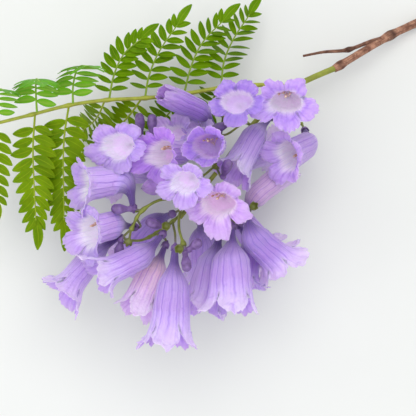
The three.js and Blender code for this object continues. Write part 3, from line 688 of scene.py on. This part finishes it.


# Petals: the map's v runs from the neck to the lip in its first half and back down the inside in its second.
# The colour goes from neck over tube, lobe and face to throat. Darker veins fade on the lobes and deep
# inside, and the throat's wall glows faintly in the lobe colour: painted light for daylight through the
# petal.
petal_pattern, given, result = node_group(
    "petal_pattern",
    {
        "Neck": ("NodeSocketColor", (0.1, 0.05, 0.2, 1)),
        "Tube": ("NodeSocketColor", (0.4, 0.3, 0.8, 1)),
        "Lobe": ("NodeSocketColor", (0.5, 0.4, 0.9, 1)),
        "Face": ("NodeSocketColor", (0.5, 0.4, 0.9, 1)),
        "Throat": ("NodeSocketColor", (0.8, 0.7, 0.9, 1)),
        "Line": ("NodeSocketColor", (0.2, 0.1, 0.5, 1)),
        "Line Strength": ("NodeSocketFloat", 0.5),
    },
    {"Colour": "NodeSocketColor", "Painted Glow": "NodeSocketColor", "Height": "NodeSocketFloat"},
)
tree = petal_pattern
where = node(tree, "ShaderNodeTexCoord").outputs["Object"]
u, v, _ = node(tree, "ShaderNodeSeparateXYZ", Vector=on_map(tree)).outputs
soft = noise(tree, where, 70.0, Detail=3.0)
fine = noise(tree, where, 900.0, Detail=3.0)


def band(tree, value, low, high):
    """A smooth step of a value between two limits."""
    return ramp(tree, value, low, high, interpolation_type="SMOOTHSTEP")


def line_mask(tree, turns, wander, width):
    """Thin lines along the petal: the distance to the middle of each of so many equal strips round it."""
    wandered = maths(tree, "ADD", maths(tree, "MULTIPLY", u, turns), maths(tree, "MULTIPLY", soft, wander))
    off = maths(tree, "ABSOLUTE", maths(tree, "SUBTRACT", maths(tree, "FRACT", wandered), 0.5))
    return band(tree, off, width, 0.0)


broad_lines = maths(tree, "MULTIPLY", line_mask(tree, 20.0, 1.3, 0.17), 0.7)
fine_lines = maths(tree, "MULTIPLY", line_mask(tree, 50.0, 2.4, 0.25), 0.3)
lines = maths(tree, "ADD", broad_lines, fine_lines)
mottled = maths(tree, "ADD", maths(tree, "MULTIPLY", soft, 0.1), -0.05)
shifted = maths(tree, "ADD", v, mottled)
colour = mixed(tree, band(tree, shifted, 0.06, 0.17), given.outputs["Neck"], given.outputs["Tube"])
colour = mixed(tree, band(tree, shifted, 0.3, 0.47), colour, given.outputs["Lobe"])
colour = mixed(tree, band(tree, v, 0.498, 0.504), colour, given.outputs["Face"])
blush = noise(tree, where, 150.0, Detail=5.0, Distortion=1.2)
blush = maths(tree, "MULTIPLY", band(tree, blush, 0.5, 0.75), band(tree, v, 0.36, 0.44))
colour = mixed(tree, maths(tree, "MULTIPLY", blush, 0.42), colour, given.outputs["Line"])
colour = mixed(tree, band(tree, shifted, 0.56, 0.64), colour, given.outputs["Throat"])
fade = maths(tree, "MULTIPLY_ADD", band(tree, v, 0.36, 0.46), -0.78, 1.0)
fade = maths(tree, "MULTIPLY", fade, band(tree, v, 0.62, 0.55))
not_deep = maths(tree, "SUBTRACT", 1.0, band(tree, v, 0.6, 0.7))
inside_fade = maths(tree, "MULTIPLY", band(tree, v, 0.5, 0.56), not_deep)
shown = maths(tree, "ADD", fade, maths(tree, "MULTIPLY", inside_fade, 0.5))
strength = maths(tree, "MULTIPLY", maths(tree, "MULTIPLY", lines, shown), given.outputs["Line Strength"])
colour = mixed(tree, strength, colour, given.outputs["Line"])
tree.links.new(colour, result.inputs["Colour"])
# The throat glows faintly in the lobe colour: painted light, standing in for daylight through the thin wall.
painted_throat_glow = mixed(tree, band(tree, v, 0.55, 0.68), (0, 0, 0, 1), given.outputs["Lobe"])
tree.links.new(painted_throat_glow, result.inputs["Painted Glow"])
crinkle = noise(tree, where, 330.0, Detail=2.0, Distortion=0.6)
height = maths(tree, "ADD", maths(tree, "MULTIPLY", fine, 0.3), maths(tree, "MULTIPLY", lines, -0.6))
height = maths(tree, "ADD", height, maths(tree, "MULTIPLY", crinkle, 2.4))
tree.links.new(height, result.inputs["Height"])

# Each tint's colours, for these inputs of the pattern in turn.
TINTED = ("Tube", "Lobe", "Face", "Throat", "Line")
TINTS = {
    "plain": [(182, 153, 214), (208, 188, 248), (184, 154, 236), (244, 228, 255), (126, 92, 190)],
    # A lighter copy of plain, with a lighter tube and throat: painted light where a bloom's tube or throat
    # lies in shade.
    "pale_lit": [(196, 171, 230), (208, 188, 248), (182, 153, 236), (246, 234, 255), (136, 104, 200)],
    # A little bluer than plain, and its darker tube is painted shade.
    "blue_shaded": [(168, 137, 205), (204, 182, 244), (184, 158, 236), (236, 226, 252), (118, 92, 190)],
    "cool": [(180, 154, 216), (190, 166, 238), (156, 128, 218), (234, 220, 244), (118, 90, 190)],
    # A darker copy of plain, darkest in the face and throat: painted shade for a bloom whose inside lies in
    # shade.
    "plain_painted_shade": [(180, 150, 214), (196, 168, 238), (166, 130, 232), (212, 184, 234), (120, 84, 186)],
    "violet": [(182, 153, 214), (200, 170, 240), (168, 122, 224), (244, 226, 250), (122, 80, 188)],
    "pink": [(206, 174, 212), (212, 184, 242), (196, 160, 236), (252, 228, 255), (146, 100, 190)],
    # A lighter copy of pink, for a bloom that lies in shade: painted light.
    "pink_painted_light": [(228, 196, 216), (222, 196, 244), (200, 166, 236), (252, 228, 255), (160, 116, 196)],
    "deep": [(168, 130, 218), (182, 148, 230), (174, 138, 228), (214, 190, 236), (108, 70, 168)],
    "shut": [(162, 122, 202), (162, 118, 202), (150, 110, 200), (190, 160, 220), (92, 46, 146)],
}
petals = {}
for tint, colours in TINTS.items():
    petals[tint], tree, shader = new_material("petal_" + tint)
    tinted = dict(zip(TINTED, [srgb(*colour) for colour in colours]))
    pattern = use_group(tree, petal_pattern, Neck=srgb(92, 62, 132), Line_Strength=0.7, **tinted)
    surface(tree, shader, pattern["Colour"], 0.55, pattern["Height"], 0.6, 0.0005)
    # The throat's painted light goes to the shader's emission, at a low strength.
    tree.links.new(pattern["Painted Glow"], shader.inputs["Emission Color"])
    shader.inputs["Emission Strength"].default_value = 0.05
    shader.inputs["Sheen Weight"].default_value = 0.25
    shader.inputs["Sheen Roughness"].default_value = 0.5
    shader.inputs["Subsurface Weight"].default_value = 1.0
    shader.inputs["Subsurface Radius"].default_value = (1.0, 0.75, 1.0)
    shader.inputs["Subsurface Scale"].default_value = 0.0015

# Petals that come near the floor are pressed flat on it: their height falls off as an exponential.
for seed, (name, bloom) in enumerate(BLOOMS.items()):
    axes, scale, _ = stance(bloom)
    rings, rows, poles = corolla_rings(bloom, 100 + seed)
    rings = bloom["seat"] + scale * rings @ axes
    low = np.minimum(rings[..., 2], FLOOR_PRESS)
    rings[..., 2] += FLOOR_PRESS * np.exp(low / FLOOR_PRESS - 1) - low
    first, last = (bloom["seat"] + scale * pole @ axes for pole in poles)
    make_piece(
        "flower_" + name, [ringed(rings, first, last, rows=rows)], petals[bloom["tint"]], "bloom_" + name,
    )


# Stamens stand against the roof of some open throats: one long bearded one and four short ones of uneven
# length. They are cream threads with brown heads, and grow from the tube's wall, deep inside.
STAMEN_ROOT = 15
STAMEN_ROWS, STAMEN_COLUMNS = 24, 8
# Each one's turn round the tube, the length where it ends, its radius and how far it stands off the middle.
STAMEN_SET = [
    (0.0, 33, 0.42, 3.4), (0.46, 26, 0.24, 4.6), (-0.4, 28, 0.24, 4.0), (0.2, 31, 0.24, 4.4),
    (-0.14, 29, 0.24, 4.9),
]
STAMENS_IN = ["crown_right", "right_outer", "upper_middle", "front_right", "upper_right", "left_lower"]

# The piece's number is 1 on a head.
cream, tree, shader = new_material("stamen")
tones = tissue(tree, (236, 220, 200), (206, 176, 160), 0.6, 800.0, 4000.0)
surface(tree, shader, mixed(tree, own_number(tree), tones["Colour"], srgb(206, 160, 118)), 0.6)

threads = []
for name in STAMENS_IN:
    bloom = BLOOMS[name]
    axes, scale, _ = stance(bloom)
    for turn, tip, thick, rise in STAMEN_SET:
        along = np.linspace(STAMEN_ROOT, tip, STAMEN_ROWS)
        px, pz, angle, _, _ = spine(bloom["bend"], along)
        off = -rise * ease(13, 24, along) * FLATNESS[1]
        beside = 9.0 * turn * ease(13, 28, along)
        line = np.stack([px + off * np.cos(angle), beside, pz - off * np.sin(angle)], axis=-1)
        head = bump_at(STAMEN_ROWS, 0.9, 0.1)
        radius = (thick + 0.36 * head) * scale
        threads.append(limb_skin(bloom["seat"] + scale * line @ axes, radius, STAMEN_COLUMNS, value=head))
make_piece("stamens", threads, cream, None)


# Side stalks start inside the main stem and branch to the blooms. Each ends in a small toothed calyx that
# clasps a bloom, in a closed bud, or in the empty cup of a fallen one. The calyces and buds turn violet
# brown, and the empty cups stay olive.
STALK_TONE = 0.2
STALK_RADIUS = (0.76, 0.6)
PEDICEL_RADIUS = 0.55
CALYX_LENGTH = 2.8
SEAT_GAP = 0.3
STALK_ROWS, STALK_COLUMNS = 120, 16
JOINT_SWELLING, JOINT_WIDTH, THICKEST = 0.4, 0.035, 1.6
CALYX_RIM, CALYX_WALL, TOOTH = 2.0, 0.28, 1.3
CALYX_TONE, CUP_TONE = 0.95, 0.28
CALYX_FLOOR, CUP_FLOOR = 0.75, 0.35
PEDICEL_ROWS, PEDICEL_COLUMNS = 40, 12
BUD_ROWS, BUD_COLUMNS = 90, 20
FAR = 1e3
# A stalk's line, and what grows from it: first the share of its length, then a bloom's name, or where a bud
# or an empty cup starts and ends.
STALKS = {
    "stalks_crown": dict(
        line=[(252, 126, -7), (240, 119, -14), (224, 116, -20), (213, 115, -20)],
        blooms=[(0.2, "crown_left"), (0.4, "crown_middle"), (0.8, "crown_behind")],
        buds=[(0.3, (232, 122, 0), (209, 132, 8))],
    ),
    "stalks_right": dict(
        line=[(268, 108, -12), (280, 112, -18), (294, 120, -24), (302, 124, -26)],
        blooms=[(0.6, "crown_right"), (0.15, "right_upper"), (1, "right_outer")],
    ),
    "stalks_upper_left": dict(
        line=[(222, 165, -2), (205, 160, -8), (185, 150, -10), (165, 147, -12), (153, 147, -15)],
        blooms=[(0.5, "upper_middle"), (0.6, "upper_behind"), (1, "upper_left")],
        buds=[(0.96, (141, 137, -9), (139, 113, -4)), (0.85, (152, 136, -6), (152, 114, -4))],
    ),
    "stalks_left": dict(
        line=[(194, 200, 3), (176, 199, 14), (157, 201, 20), (140, 213, 22), (131, 230, 20)],
        blooms=[(0.72, "left_upper"), (0.85, "left_lower"), (0.3, "left_inner")],
        buds=[(0.76, (131, 209, 24), (111, 209, 26)), (0.98, (121, 241, 16), (118, 256, 13))],
        cups=[(1, (128, 243, 16), (122, 262, 10))],
    ),
    "stalks_lower_left": dict(
        line=[(186, 210, 4), (172, 222, 10), (158, 232, 12), (142, 240, 8), (126, 240, 0)],
        blooms=[(1, "bottom_outer"), (0.6, "bottom_left"), (0.5, "bottom_behind"), (0.25, "bottom_middle")],
        buds=[(0.4, (164, 227, 20), (146, 221, 24))],
        cups=[(0.35, (166, 226, 28), (158, 232, 40))],
    ),
    "stalks_lower": dict(
        line=[(187, 207, 4), (181, 209, 18), (179, 228, 29), (184, 246, 34)],
        buds=[(0.97, (189, 249, 35), (201, 241, 38)), (1, (185, 253, 35), (187, 271, 40))],
        cups=[(0.95, (179, 249, 38), (173, 258, 50))],
    ),
    "stalks_lower_right": dict(
        line=[(205, 186, 1), (220, 200, 2), (236, 210, 4), (249, 213, 6)],
        blooms=[
            (0.3, "front_right"), (0.6, "bottom_right"), (0.45, "bottom_inner"), (1, "lower_right"),
            (0.75, "lower_behind"), (0.8, "right_lower"),
        ],
        cups=[(0.8, (237, 219, 18), (236, 230, 30)), (1, (254, 206, 12), (262, 200, 22))],
    ),
    "stalks_front": dict(
        line=[(220, 168, -1), (217, 168, 6), (214, 166, 12)],
        blooms=[(0.9, "front_left"), (0.9, "upper_right")],
        buds=[(0.6, (223, 176, 28), (229, 161, 39))],
    ),
    "stalks_back": dict(
        line=[(201, 191, 1), (200, 193, -7), (198, 197, -14)],
        blooms=[
            (1, "back_left"), (0.8, "back_right"), (1, "back_lower_right"), (1, "back_lower_left"),
            (1, "back_bottom"),
        ],
    ),
}


def calyx_skin(base, way, hollow):
    """A small cup with five teeth, outside and inside.

    Its radius grows from the pedicel's to the rim's as a smooth S. The rim stands out by a power of a cosine
    that has five waves round. The inside is the same cup, a wall's thickness smaller.
    """
    side = unit(np.cross(way, [0.3, 0.5, 0.81]))
    beside = np.cross(way, side)
    angle = np.linspace(0, 2 * np.pi, 40, endpoint=False)
    share = np.linspace(0, 1, 14)[:, None]
    teeth = np.abs(np.cos(2.5 * angle))[None, :] ** 1.5
    height = CALYX_LENGTH * share + TOOTH * teeth * ease(0.6, 1.0, share)
    radius = PEDICEL_RADIUS + (CALYX_RIM - PEDICEL_RADIUS) * ease(0.0, 0.75, share)
    radius = radius + 0.15 * teeth * ease(0.7, 1.0, share)
    inside = share[:, 0] >= (CUP_FLOOR if hollow else CALYX_FLOOR)
    height = np.concatenate([height, height[inside][::-1]])
    radius = np.concatenate([radius, np.maximum(radius - CALYX_WALL, 0.15)[inside][::-1]])
    rings = (
        base
        + height[..., None] * way
        + (radius * np.cos(angle))[..., None] * side
        + (radius * np.sin(angle))[..., None] * beside
    )
    floor_pole = base + way * (height[-1].mean() - 0.1)
    return ringed(rings, base, floor_pole, value=CUP_TONE if hollow else CALYX_TONE)


def bezier(a, b, c, d, count):
    """A cubic from a to d that leaves towards b and comes in from c, with even steps."""
    t = np.linspace(0, 1, 80)[:, None]
    return evenly((1 - t) ** 3 * a + 3 * (1 - t) ** 2 * t * b + 3 * (1 - t) * t**2 * c + t**3 * d, count)


def pedicel_skins(start, seat, base_way, hollow=False):
    """A thin stalk from its branch to a calyx, thicker where it joins both."""
    end = seat - SEAT_GAP * base_way
    gap = np.linalg.norm(end - start)
    before_end = end - base_way * max(gap * 0.45, CALYX_LENGTH * 1.5)
    line = bezier(start, start + 0.35 * (end - start), before_end, end, PEDICEL_ROWS)
    share = np.linspace(0, 1, PEDICEL_ROWS)
    radius = PEDICEL_RADIUS * (1 + 0.35 * ease(0.12, 0.0, share) + 0.3 * ease(0.8, 1.0, share))
    length = np.linalg.norm(np.diff(line, axis=0), axis=1).sum()
    stop = max(4, int(round(PEDICEL_ROWS * (1 - CALYX_LENGTH / length))) + 1)
    turning = STALK_TONE + 0.35 * ease(0.55, 1.0, share)
    way = tangents(line)[-1]
    return [
        limb_skin(line[:stop], radius[:stop], PEDICEL_COLUMNS, value=turning[:stop]),
        calyx_skin(end - way * CALYX_LENGTH, way, hollow),
    ]


def bud_skins(start, neck, tip):
    """A closed bud on its stalk: a club that swells to its tip, pinched into five by the folded lobes."""
    forward = tip - neck
    club = np.linalg.norm(forward)
    line = smooth_line([start, neck - 0.12 * forward, neck + 0.2 * forward, tip], BUD_ROWS)
    run = np.concatenate([[0], np.cumsum(np.linalg.norm(np.diff(line, axis=0), axis=1))])
    left = run[-1] - run
    stops = [0, club * 0.04, club * 0.15, club * 0.45, club * 0.8, club * 0.94, club, club + 2.2, FAR]
    radii = [0.25, 1.5, 2.3, 2.5, 1.35, 1.3, 1.65, PEDICEL_RADIUS, PEDICEL_RADIUS]
    radius = np.interp(left, stops, radii)
    angle = np.linspace(0, 2 * np.pi, BUD_COLUMNS, endpoint=False)
    pinch = 0.07 * ease(club * 0.7, club * 0.1, left)[:, None] * (1 - np.abs(np.cos(2.5 * angle)))[None, :]
    shade = np.interp(left, [0, club, club + 1.5, club + 4, FAR], [1, 1, 0.8, 0.3, STALK_TONE])
    return [limb_skin(line, radius[:, None] * (1 - pinch), BUD_COLUMNS, value=shade)]


for name, stalk in STALKS.items():
    stalk = {"blooms": [], "cups": [], "buds": [], **stalk}
    line = smooth_line([place(*point) for point in stalk["line"]], STALK_ROWS)
    radius = np.linspace(*STALK_RADIUS, STALK_ROWS)
    for start, *_ in [*stalk["blooms"], *stalk["buds"], *stalk["cups"]]:
        radius = radius + JOINT_SWELLING * bump_at(STALK_ROWS, start, JOINT_WIDTH)
    skins = [limb_skin(line, np.minimum(radius, THICKEST), STALK_COLUMNS, value=STALK_TONE)]
    at = lambda share: line[int(round(share * (STALK_ROWS - 1)))]
    for start, bloom in stalk["blooms"]:
        skins += pedicel_skins(at(start), BLOOMS[bloom]["seat"], stance(BLOOMS[bloom])[2])
    for start, seat, mouth in stalk["cups"]:
        seat = place(*seat)
        skins += pedicel_skins(at(start), seat, unit(place(*mouth) - seat), hollow=True)
    for start, neck, tip in stalk["buds"]:
        skins += bud_skins(at(start), place(*neck), place(*tip))
    make_piece(name.replace("stalks", "stalk_group"), skins, green_stem, name)


# The leaf's rachis runs from the twig's last node behind the blooms to the leaf's far end. It is a
# yellow-green stalk, flat above, and swells a little at each pair of pinnae.
RACHIS_LINE = [
    place(342, 64, -27), place(318, 75, -33), place(292, 85, -33), place(255, 85, -28), place(220, 88, -21),
    place(183, 94, -14), place(145, 98, -5), place(107, 100, 2), place(70, 105, 6), place(34, 114, 9),
    place(-2, 123, 11), place(-34, 131, 12),
]
RACHIS_RADIUS = (1.3, 0.8)
RACHIS_ROWS, RACHIS_COLUMNS = 500, 24
PAIRS_ACROSS = (-2, 34, 70, 107, 145, 183, 220)
SWELLING, SWELLING_ROWS = 0.35, 5.0
rachis_line = smooth_line(RACHIS_LINE, RACHIS_ROWS)
rows = np.arange(RACHIS_ROWS)
pair_rows = [np.argmin(np.abs(rachis_line[:, 0] - place(x, 100, 0)[0])) for x in PAIRS_ACROSS]
swelling = sum(SWELLING * np.exp(-(((rows - row) / SWELLING_ROWS) ** 2)) for row in pair_rows)
angle = np.linspace(0, 2 * np.pi, RACHIS_COLUMNS, endpoint=False)
ridge = 0.07 * np.cos(2 * angle) + 0.05 * np.cos(3 * angle)
rachis_radius = (np.linspace(*RACHIS_RADIUS, RACHIS_ROWS) + swelling)[:, None] * (1 + ridge)
rachis_skin = limb_skin(rachis_line, rachis_radius, RACHIS_COLUMNS, side=(0, 0, 1))
make_piece("leaf_stalk", [rachis_skin], green_stem, "leaf_rachis")


# Pinnae stand in two rows along the rachis, with one at its end: thread-thin stalks that start inside it and
# carry pairs of pointed leaflets, smaller at both ends. The upper ones at the leaf's far end are young and
# stand up, and those nearer the twig are rolled. The rolled ones and the lower pinnae nearest the twig have
# a darker green, which is painted shade.
YOUNG = dict(tone="young", lean=(80, 66), droop=0.28, face=unit(np.array([0, 1, 0.25])))
ROLLED = dict(tone="shade", roll=1.1, spacing=3.5)
GROWN = dict(tone="grown")
SHADE = dict(tone="shade")
PINNAE = {
    "pinna_end": dict(line=[(-34.7, 131.3, 12), (-60, 141, 14), (-90, 158, 14)], tone="young"),
    "pinna_1_upper": dict(line=[(-1, 122, 11), (-3, 105, 18), (-1, 90, 34), (4, 90, 50)], **YOUNG),
    "pinna_1_lower": dict(line=[(-3, 124, 11), (-6, 158, 10), (-4, 200, 8)], **GROWN),
    "pinna_2_upper": dict(line=[(37, 113, 9), (36, 96, 14), (36, 80, 30), (40, 82, 54)], **YOUNG),
    "pinna_2_lower": dict(line=[(35, 114, 9), (33, 150, 9), (36, 222, 7)], **GROWN),
    "pinna_3_upper": dict(line=[(73, 105, 6), (73, 87, 11), (78, 68, 26), (90, 66, 46)], **YOUNG),
    "pinna_3_lower": dict(line=[(69, 105, 6), (64, 140, 5), (64, 222, 2)], **GROWN),
    "pinna_4_upper": dict(line=[(109, 100, 2), (114, 75, 4), (124, 54, 8), (142, 38, 14)], **ROLLED),
    "pinna_4_lower": dict(line=[(105, 100, 2), (99, 114, -8), (91, 124, -22), (80, 132, -35)], **GROWN),
    "pinna_5_upper": dict(line=[(145, 98, -5), (149, 76, -4), (159, 52, -2), (178, 24, 0)], **ROLLED),
    "pinna_5_lower": dict(line=[(142, 98, -5), (128, 117, -16), (110, 134, -27), (94, 146, -36)], **GROWN),
    "pinna_6_upper": dict(line=[(184, 94, -14), (192, 64, -12), (203, 42, -12), (224, 20, -14)], **ROLLED),
    "pinna_6_lower": dict(line=[(181, 96, -14), (170, 112, -29), (153, 132, -39), (141, 153, -43)], **SHADE),
    "pinna_7_upper": dict(line=[(221, 88, -21), (224, 62, -20), (233, 40, -22), (250, 14, -26)], **ROLLED),
    "pinna_7_lower": dict(line=[(218, 90, -21), (210, 104, -34), (197, 124, -42), (186, 146, -44)], **SHADE),
}
LEAFLET_LENGTH = 13.5
LEAFLET_WIDTH = 6.0
LEAFLET_WALL = 0.3
LEAFLET_RINGS = 8
PINNA_ROWS, THREAD_ROWS, THREAD_COLUMNS = 400, 300, 8
THREAD_RADIUS = (0.55, 0.28)
SHARP_EDGE = math.radians(60)
# Spacing in mm, lean in degrees off the pinna from its root to its tip, droop as a share of a leaflet's
# length, roll as a slope about the leaflet, and the way that the leaf faces.
USUAL_PINNA = dict(spacing=4.3, lean=(72, 38), droop=0.1, roll=0.0, face=np.array([0.0, 0.0, 1.0]))


def leaflet_skins(roots, ways, ups, lengths, widths, droop=0.1):
    """Leaflets as closed blades, worked out together, in four columns: left rim, top, right rim, underside.

    Along each blade the half width is a sine to the power 0.62, times a little more near the root, so that
    the tip is pointed. The blade sags with the square of the way along and bows sideways with a sine. Its
    middle lies a little lower than its rims, and the underside is a wall's thickness below that.
    """
    share = np.linspace(0.03, 0.97, LEAFLET_RINGS)
    half = 0.5 * np.sin(np.pi * share) ** 0.62 * (1.1 - 0.25 * share)
    sideways = np.cross(ups, ways)
    along = lengths[:, None] * share
    sag = -droop * lengths[:, None] * share**2
    bow = 0.05 * lengths[:, None] * np.sin(np.pi * share)
    wide = widths[:, None] * half
    keel = -0.03 * wide
    middle = roots[:, None, :] + along[..., None] * ways[:, None, :] + sag[..., None] * ups[:, None, :]
    middle = middle + bow[..., None] * sideways[:, None, :]
    left = middle + wide[..., None] * sideways[:, None, :]
    right = middle - wide[..., None] * sideways[:, None, :]
    top = middle + keel[..., None] * ups[:, None, :]
    bottom = top - LEAFLET_WALL * ups[:, None, :]
    rings = np.stack([left, top, right, bottom], axis=2)
    tips = roots + lengths[:, None] * ways - droop * lengths[:, None] * ups
    blades = []
    for one in range(len(roots)):
        blade = ringed(rings[one], roots[one], tips[one])
        blade["values"] = np.concatenate([np.tile([0.0, 0.0, 0.0, 1.0], LEAFLET_RINGS), [0.0, 0.0]])
        blades.append(blade)
    return blades


def leaf_material(name, blade, blotch, rib, stalk):
    """Leaf green with a paler rib and underside. The map's u is 0.25 on the rib; the number is 1 below."""
    material, tree, shader = new_material(name)
    u = node(tree, "ShaderNodeSeparateXYZ", Vector=on_map(tree)).outputs[0]
    off = maths(tree, "ABSOLUTE", maths(tree, "SUBTRACT", u, 0.25))
    tones = tissue(tree, blade, blotch, 0.7, 110.0, 2600.0)
    on_rib = maths(tree, "MULTIPLY", band(tree, off, 0.022, 0.008), 0.5)
    ribbed = mixed(tree, on_rib, tones["Colour"], srgb(*rib))
    colour = mixed(tree, maths(tree, "MULTIPLY", own_number(tree), 0.6), ribbed, srgb(*stalk))
    surface(tree, shader, colour, 0.5, tones["Grain"], 0.2, 0.0002)
    shader.inputs["Specular IOR Level"].default_value = 0.07
    shader.inputs["Subsurface Weight"].default_value = 0.25
    shader.inputs["Subsurface Radius"].default_value = (0.5, 1.0, 0.2)
    shader.inputs["Subsurface Scale"].default_value = 0.0008
    return material


leaf_greens = {
    "young": leaf_material("leaf_young", (94, 166, 8), (68, 138, 4), (160, 200, 60), (162, 194, 76)),
    "grown": leaf_material("leaf_grown", (110, 137, 0), (82, 112, 0), (146, 168, 26), (166, 180, 60)),
    "shade": leaf_material("leaf_shade", (98, 134, 0), (74, 108, 0), (138, 164, 36), (150, 174, 70)),
}

for seed, (name, own_ways) in enumerate(PINNAE.items()):
    pinna = {**USUAL_PINNA, **own_ways}
    own = np.random.default_rng(500 + seed)
    line = smooth_line([place(*point) for point in pinna["line"]], PINNA_ROWS)
    ways = tangents(line)
    length = np.linalg.norm(np.diff(line, axis=0), axis=1).sum()
    pairs = int(round(0.8 * length / pinna["spacing"]))
    shrink = min(1.0, 0.3 + length / 85)
    pair = np.arange(pairs)
    last_row = PINNA_ROWS - 1
    at = np.minimum(last_row, np.round((0.13 + 0.82 * pair / (pairs - 1)) * last_row).astype(int))
    lean = np.radians(np.linspace(*pinna["lean"], pairs))
    size = shrink * (0.72 + 0.28 * np.sin(np.pi * np.minimum(1, 0.15 + pair / pairs)))
    beside = unit(np.cross(ways[at], pinna["face"]))
    up = unit(np.cross(beside, ways[at]))
    joint = rachis_line[np.argmin(np.linalg.norm(rachis_line - line[0], axis=1))]
    thread = evenly(np.vstack([joint, line[2:-6]]), THREAD_ROWS)
    skins = [limb_skin(thread, np.linspace(*THREAD_RADIUS, THREAD_ROWS), THREAD_COLUMNS, value=1.0)]
    for hand in (-1, 1):
        tilt = own.normal(0, 0.16, pairs)[:, None]
        turn = (lean + own.normal(0, 0.07, pairs))[:, None]
        way = ways[at] * np.cos(turn) + hand * beside * np.sin(turn)
        way = unit(way + up * own.normal(-0.02, 0.08, pairs)[:, None])
        normal = unit(up + tilt * beside + pinna["roll"] * own.uniform(0.6, 1.3, pairs)[:, None] * ways[at])
        normal = unit(normal - way * np.sum(normal * way, axis=1, keepdims=True))
        spread = size * own.uniform(0.93, 1.06, pairs)
        roots = line[np.clip(at + hand * 3, 0, last_row)]
        skins += leaflet_skins(
            roots, way, normal, LEAFLET_LENGTH * spread, LEAFLET_WIDTH * spread, pinna["droop"],
        )
    end_up = unit(np.cross(np.cross(ways[-6], pinna["face"]), ways[-6]))
    skins += leaflet_skins(
        line[-8][None], ways[-6][None], end_up[None], np.array([LEAFLET_LENGTH * 1.2 * shrink]),
        np.array([LEAFLET_WIDTH * 0.95 * shrink]),
    )
    piece_name = name.replace("pinna", "leaflets")
    leaflets = make_piece(piece_name, skins, leaf_greens[pinna["tone"]], name)
    leaflets.data.set_sharp_from_angle(angle=SHARP_EDGE)


# The studio: a plain pale floor that the spray lies on, a large soft light from the top of the picture and a
# weaker one from its lower left, in an even pale light from all round.
floor_mesh = bpy.data.meshes.new("floor")
floor_mesh.from_pydata([(-2, -2, 0), (2, -2, 0), (2, 2, 0), (-2, 2, 0)], [], [(0, 1, 2, 3)])
floor = bpy.data.objects.new("floor", floor_mesh)
bpy.context.scene.collection.objects.link(floor)
paper, tree, shader = new_material("floor_paper")
tones = tissue(tree, (226, 228, 222), (220, 222, 216), 0.5, 6.0, 900.0)
surface(tree, shader, tones["Colour"], 0.9)
floor_mesh.materials.append(paper)


def soft_light(name, energy, size, location, colour):
    """A square area light that looks at the middle of the spray."""
    light = bpy.data.lights.new(name, "AREA")
    light.energy = energy
    light.size = size
    light.color = colour
    lamp = bpy.data.objects.new(name, light)
    lamp.location = location
    lamp.rotation_euler = (Vector((0, 0, 0.05)) - Vector(location)).to_track_quat("-Z", "Y").to_euler()
    bpy.context.scene.collection.objects.link(lamp)


soft_light("key", 6.0, 0.8, (0.08, 0.26, 1.05), (1.0, 0.985, 0.96))
soft_light("fill", 4.0, 0.9, (-0.8, -0.5, 0.8), (0.97, 0.96, 1.0))
world = bpy.data.worlds.new("studio")
world.use_nodes = True
world.node_tree.nodes["Background"].inputs["Color"].default_value = (0.92, 0.93, 1.0, 1)
world.node_tree.nodes["Background"].inputs["Strength"].default_value = 0.78
bpy.context.scene.world = world
bpy.context.scene.view_settings.view_transform = "Standard"
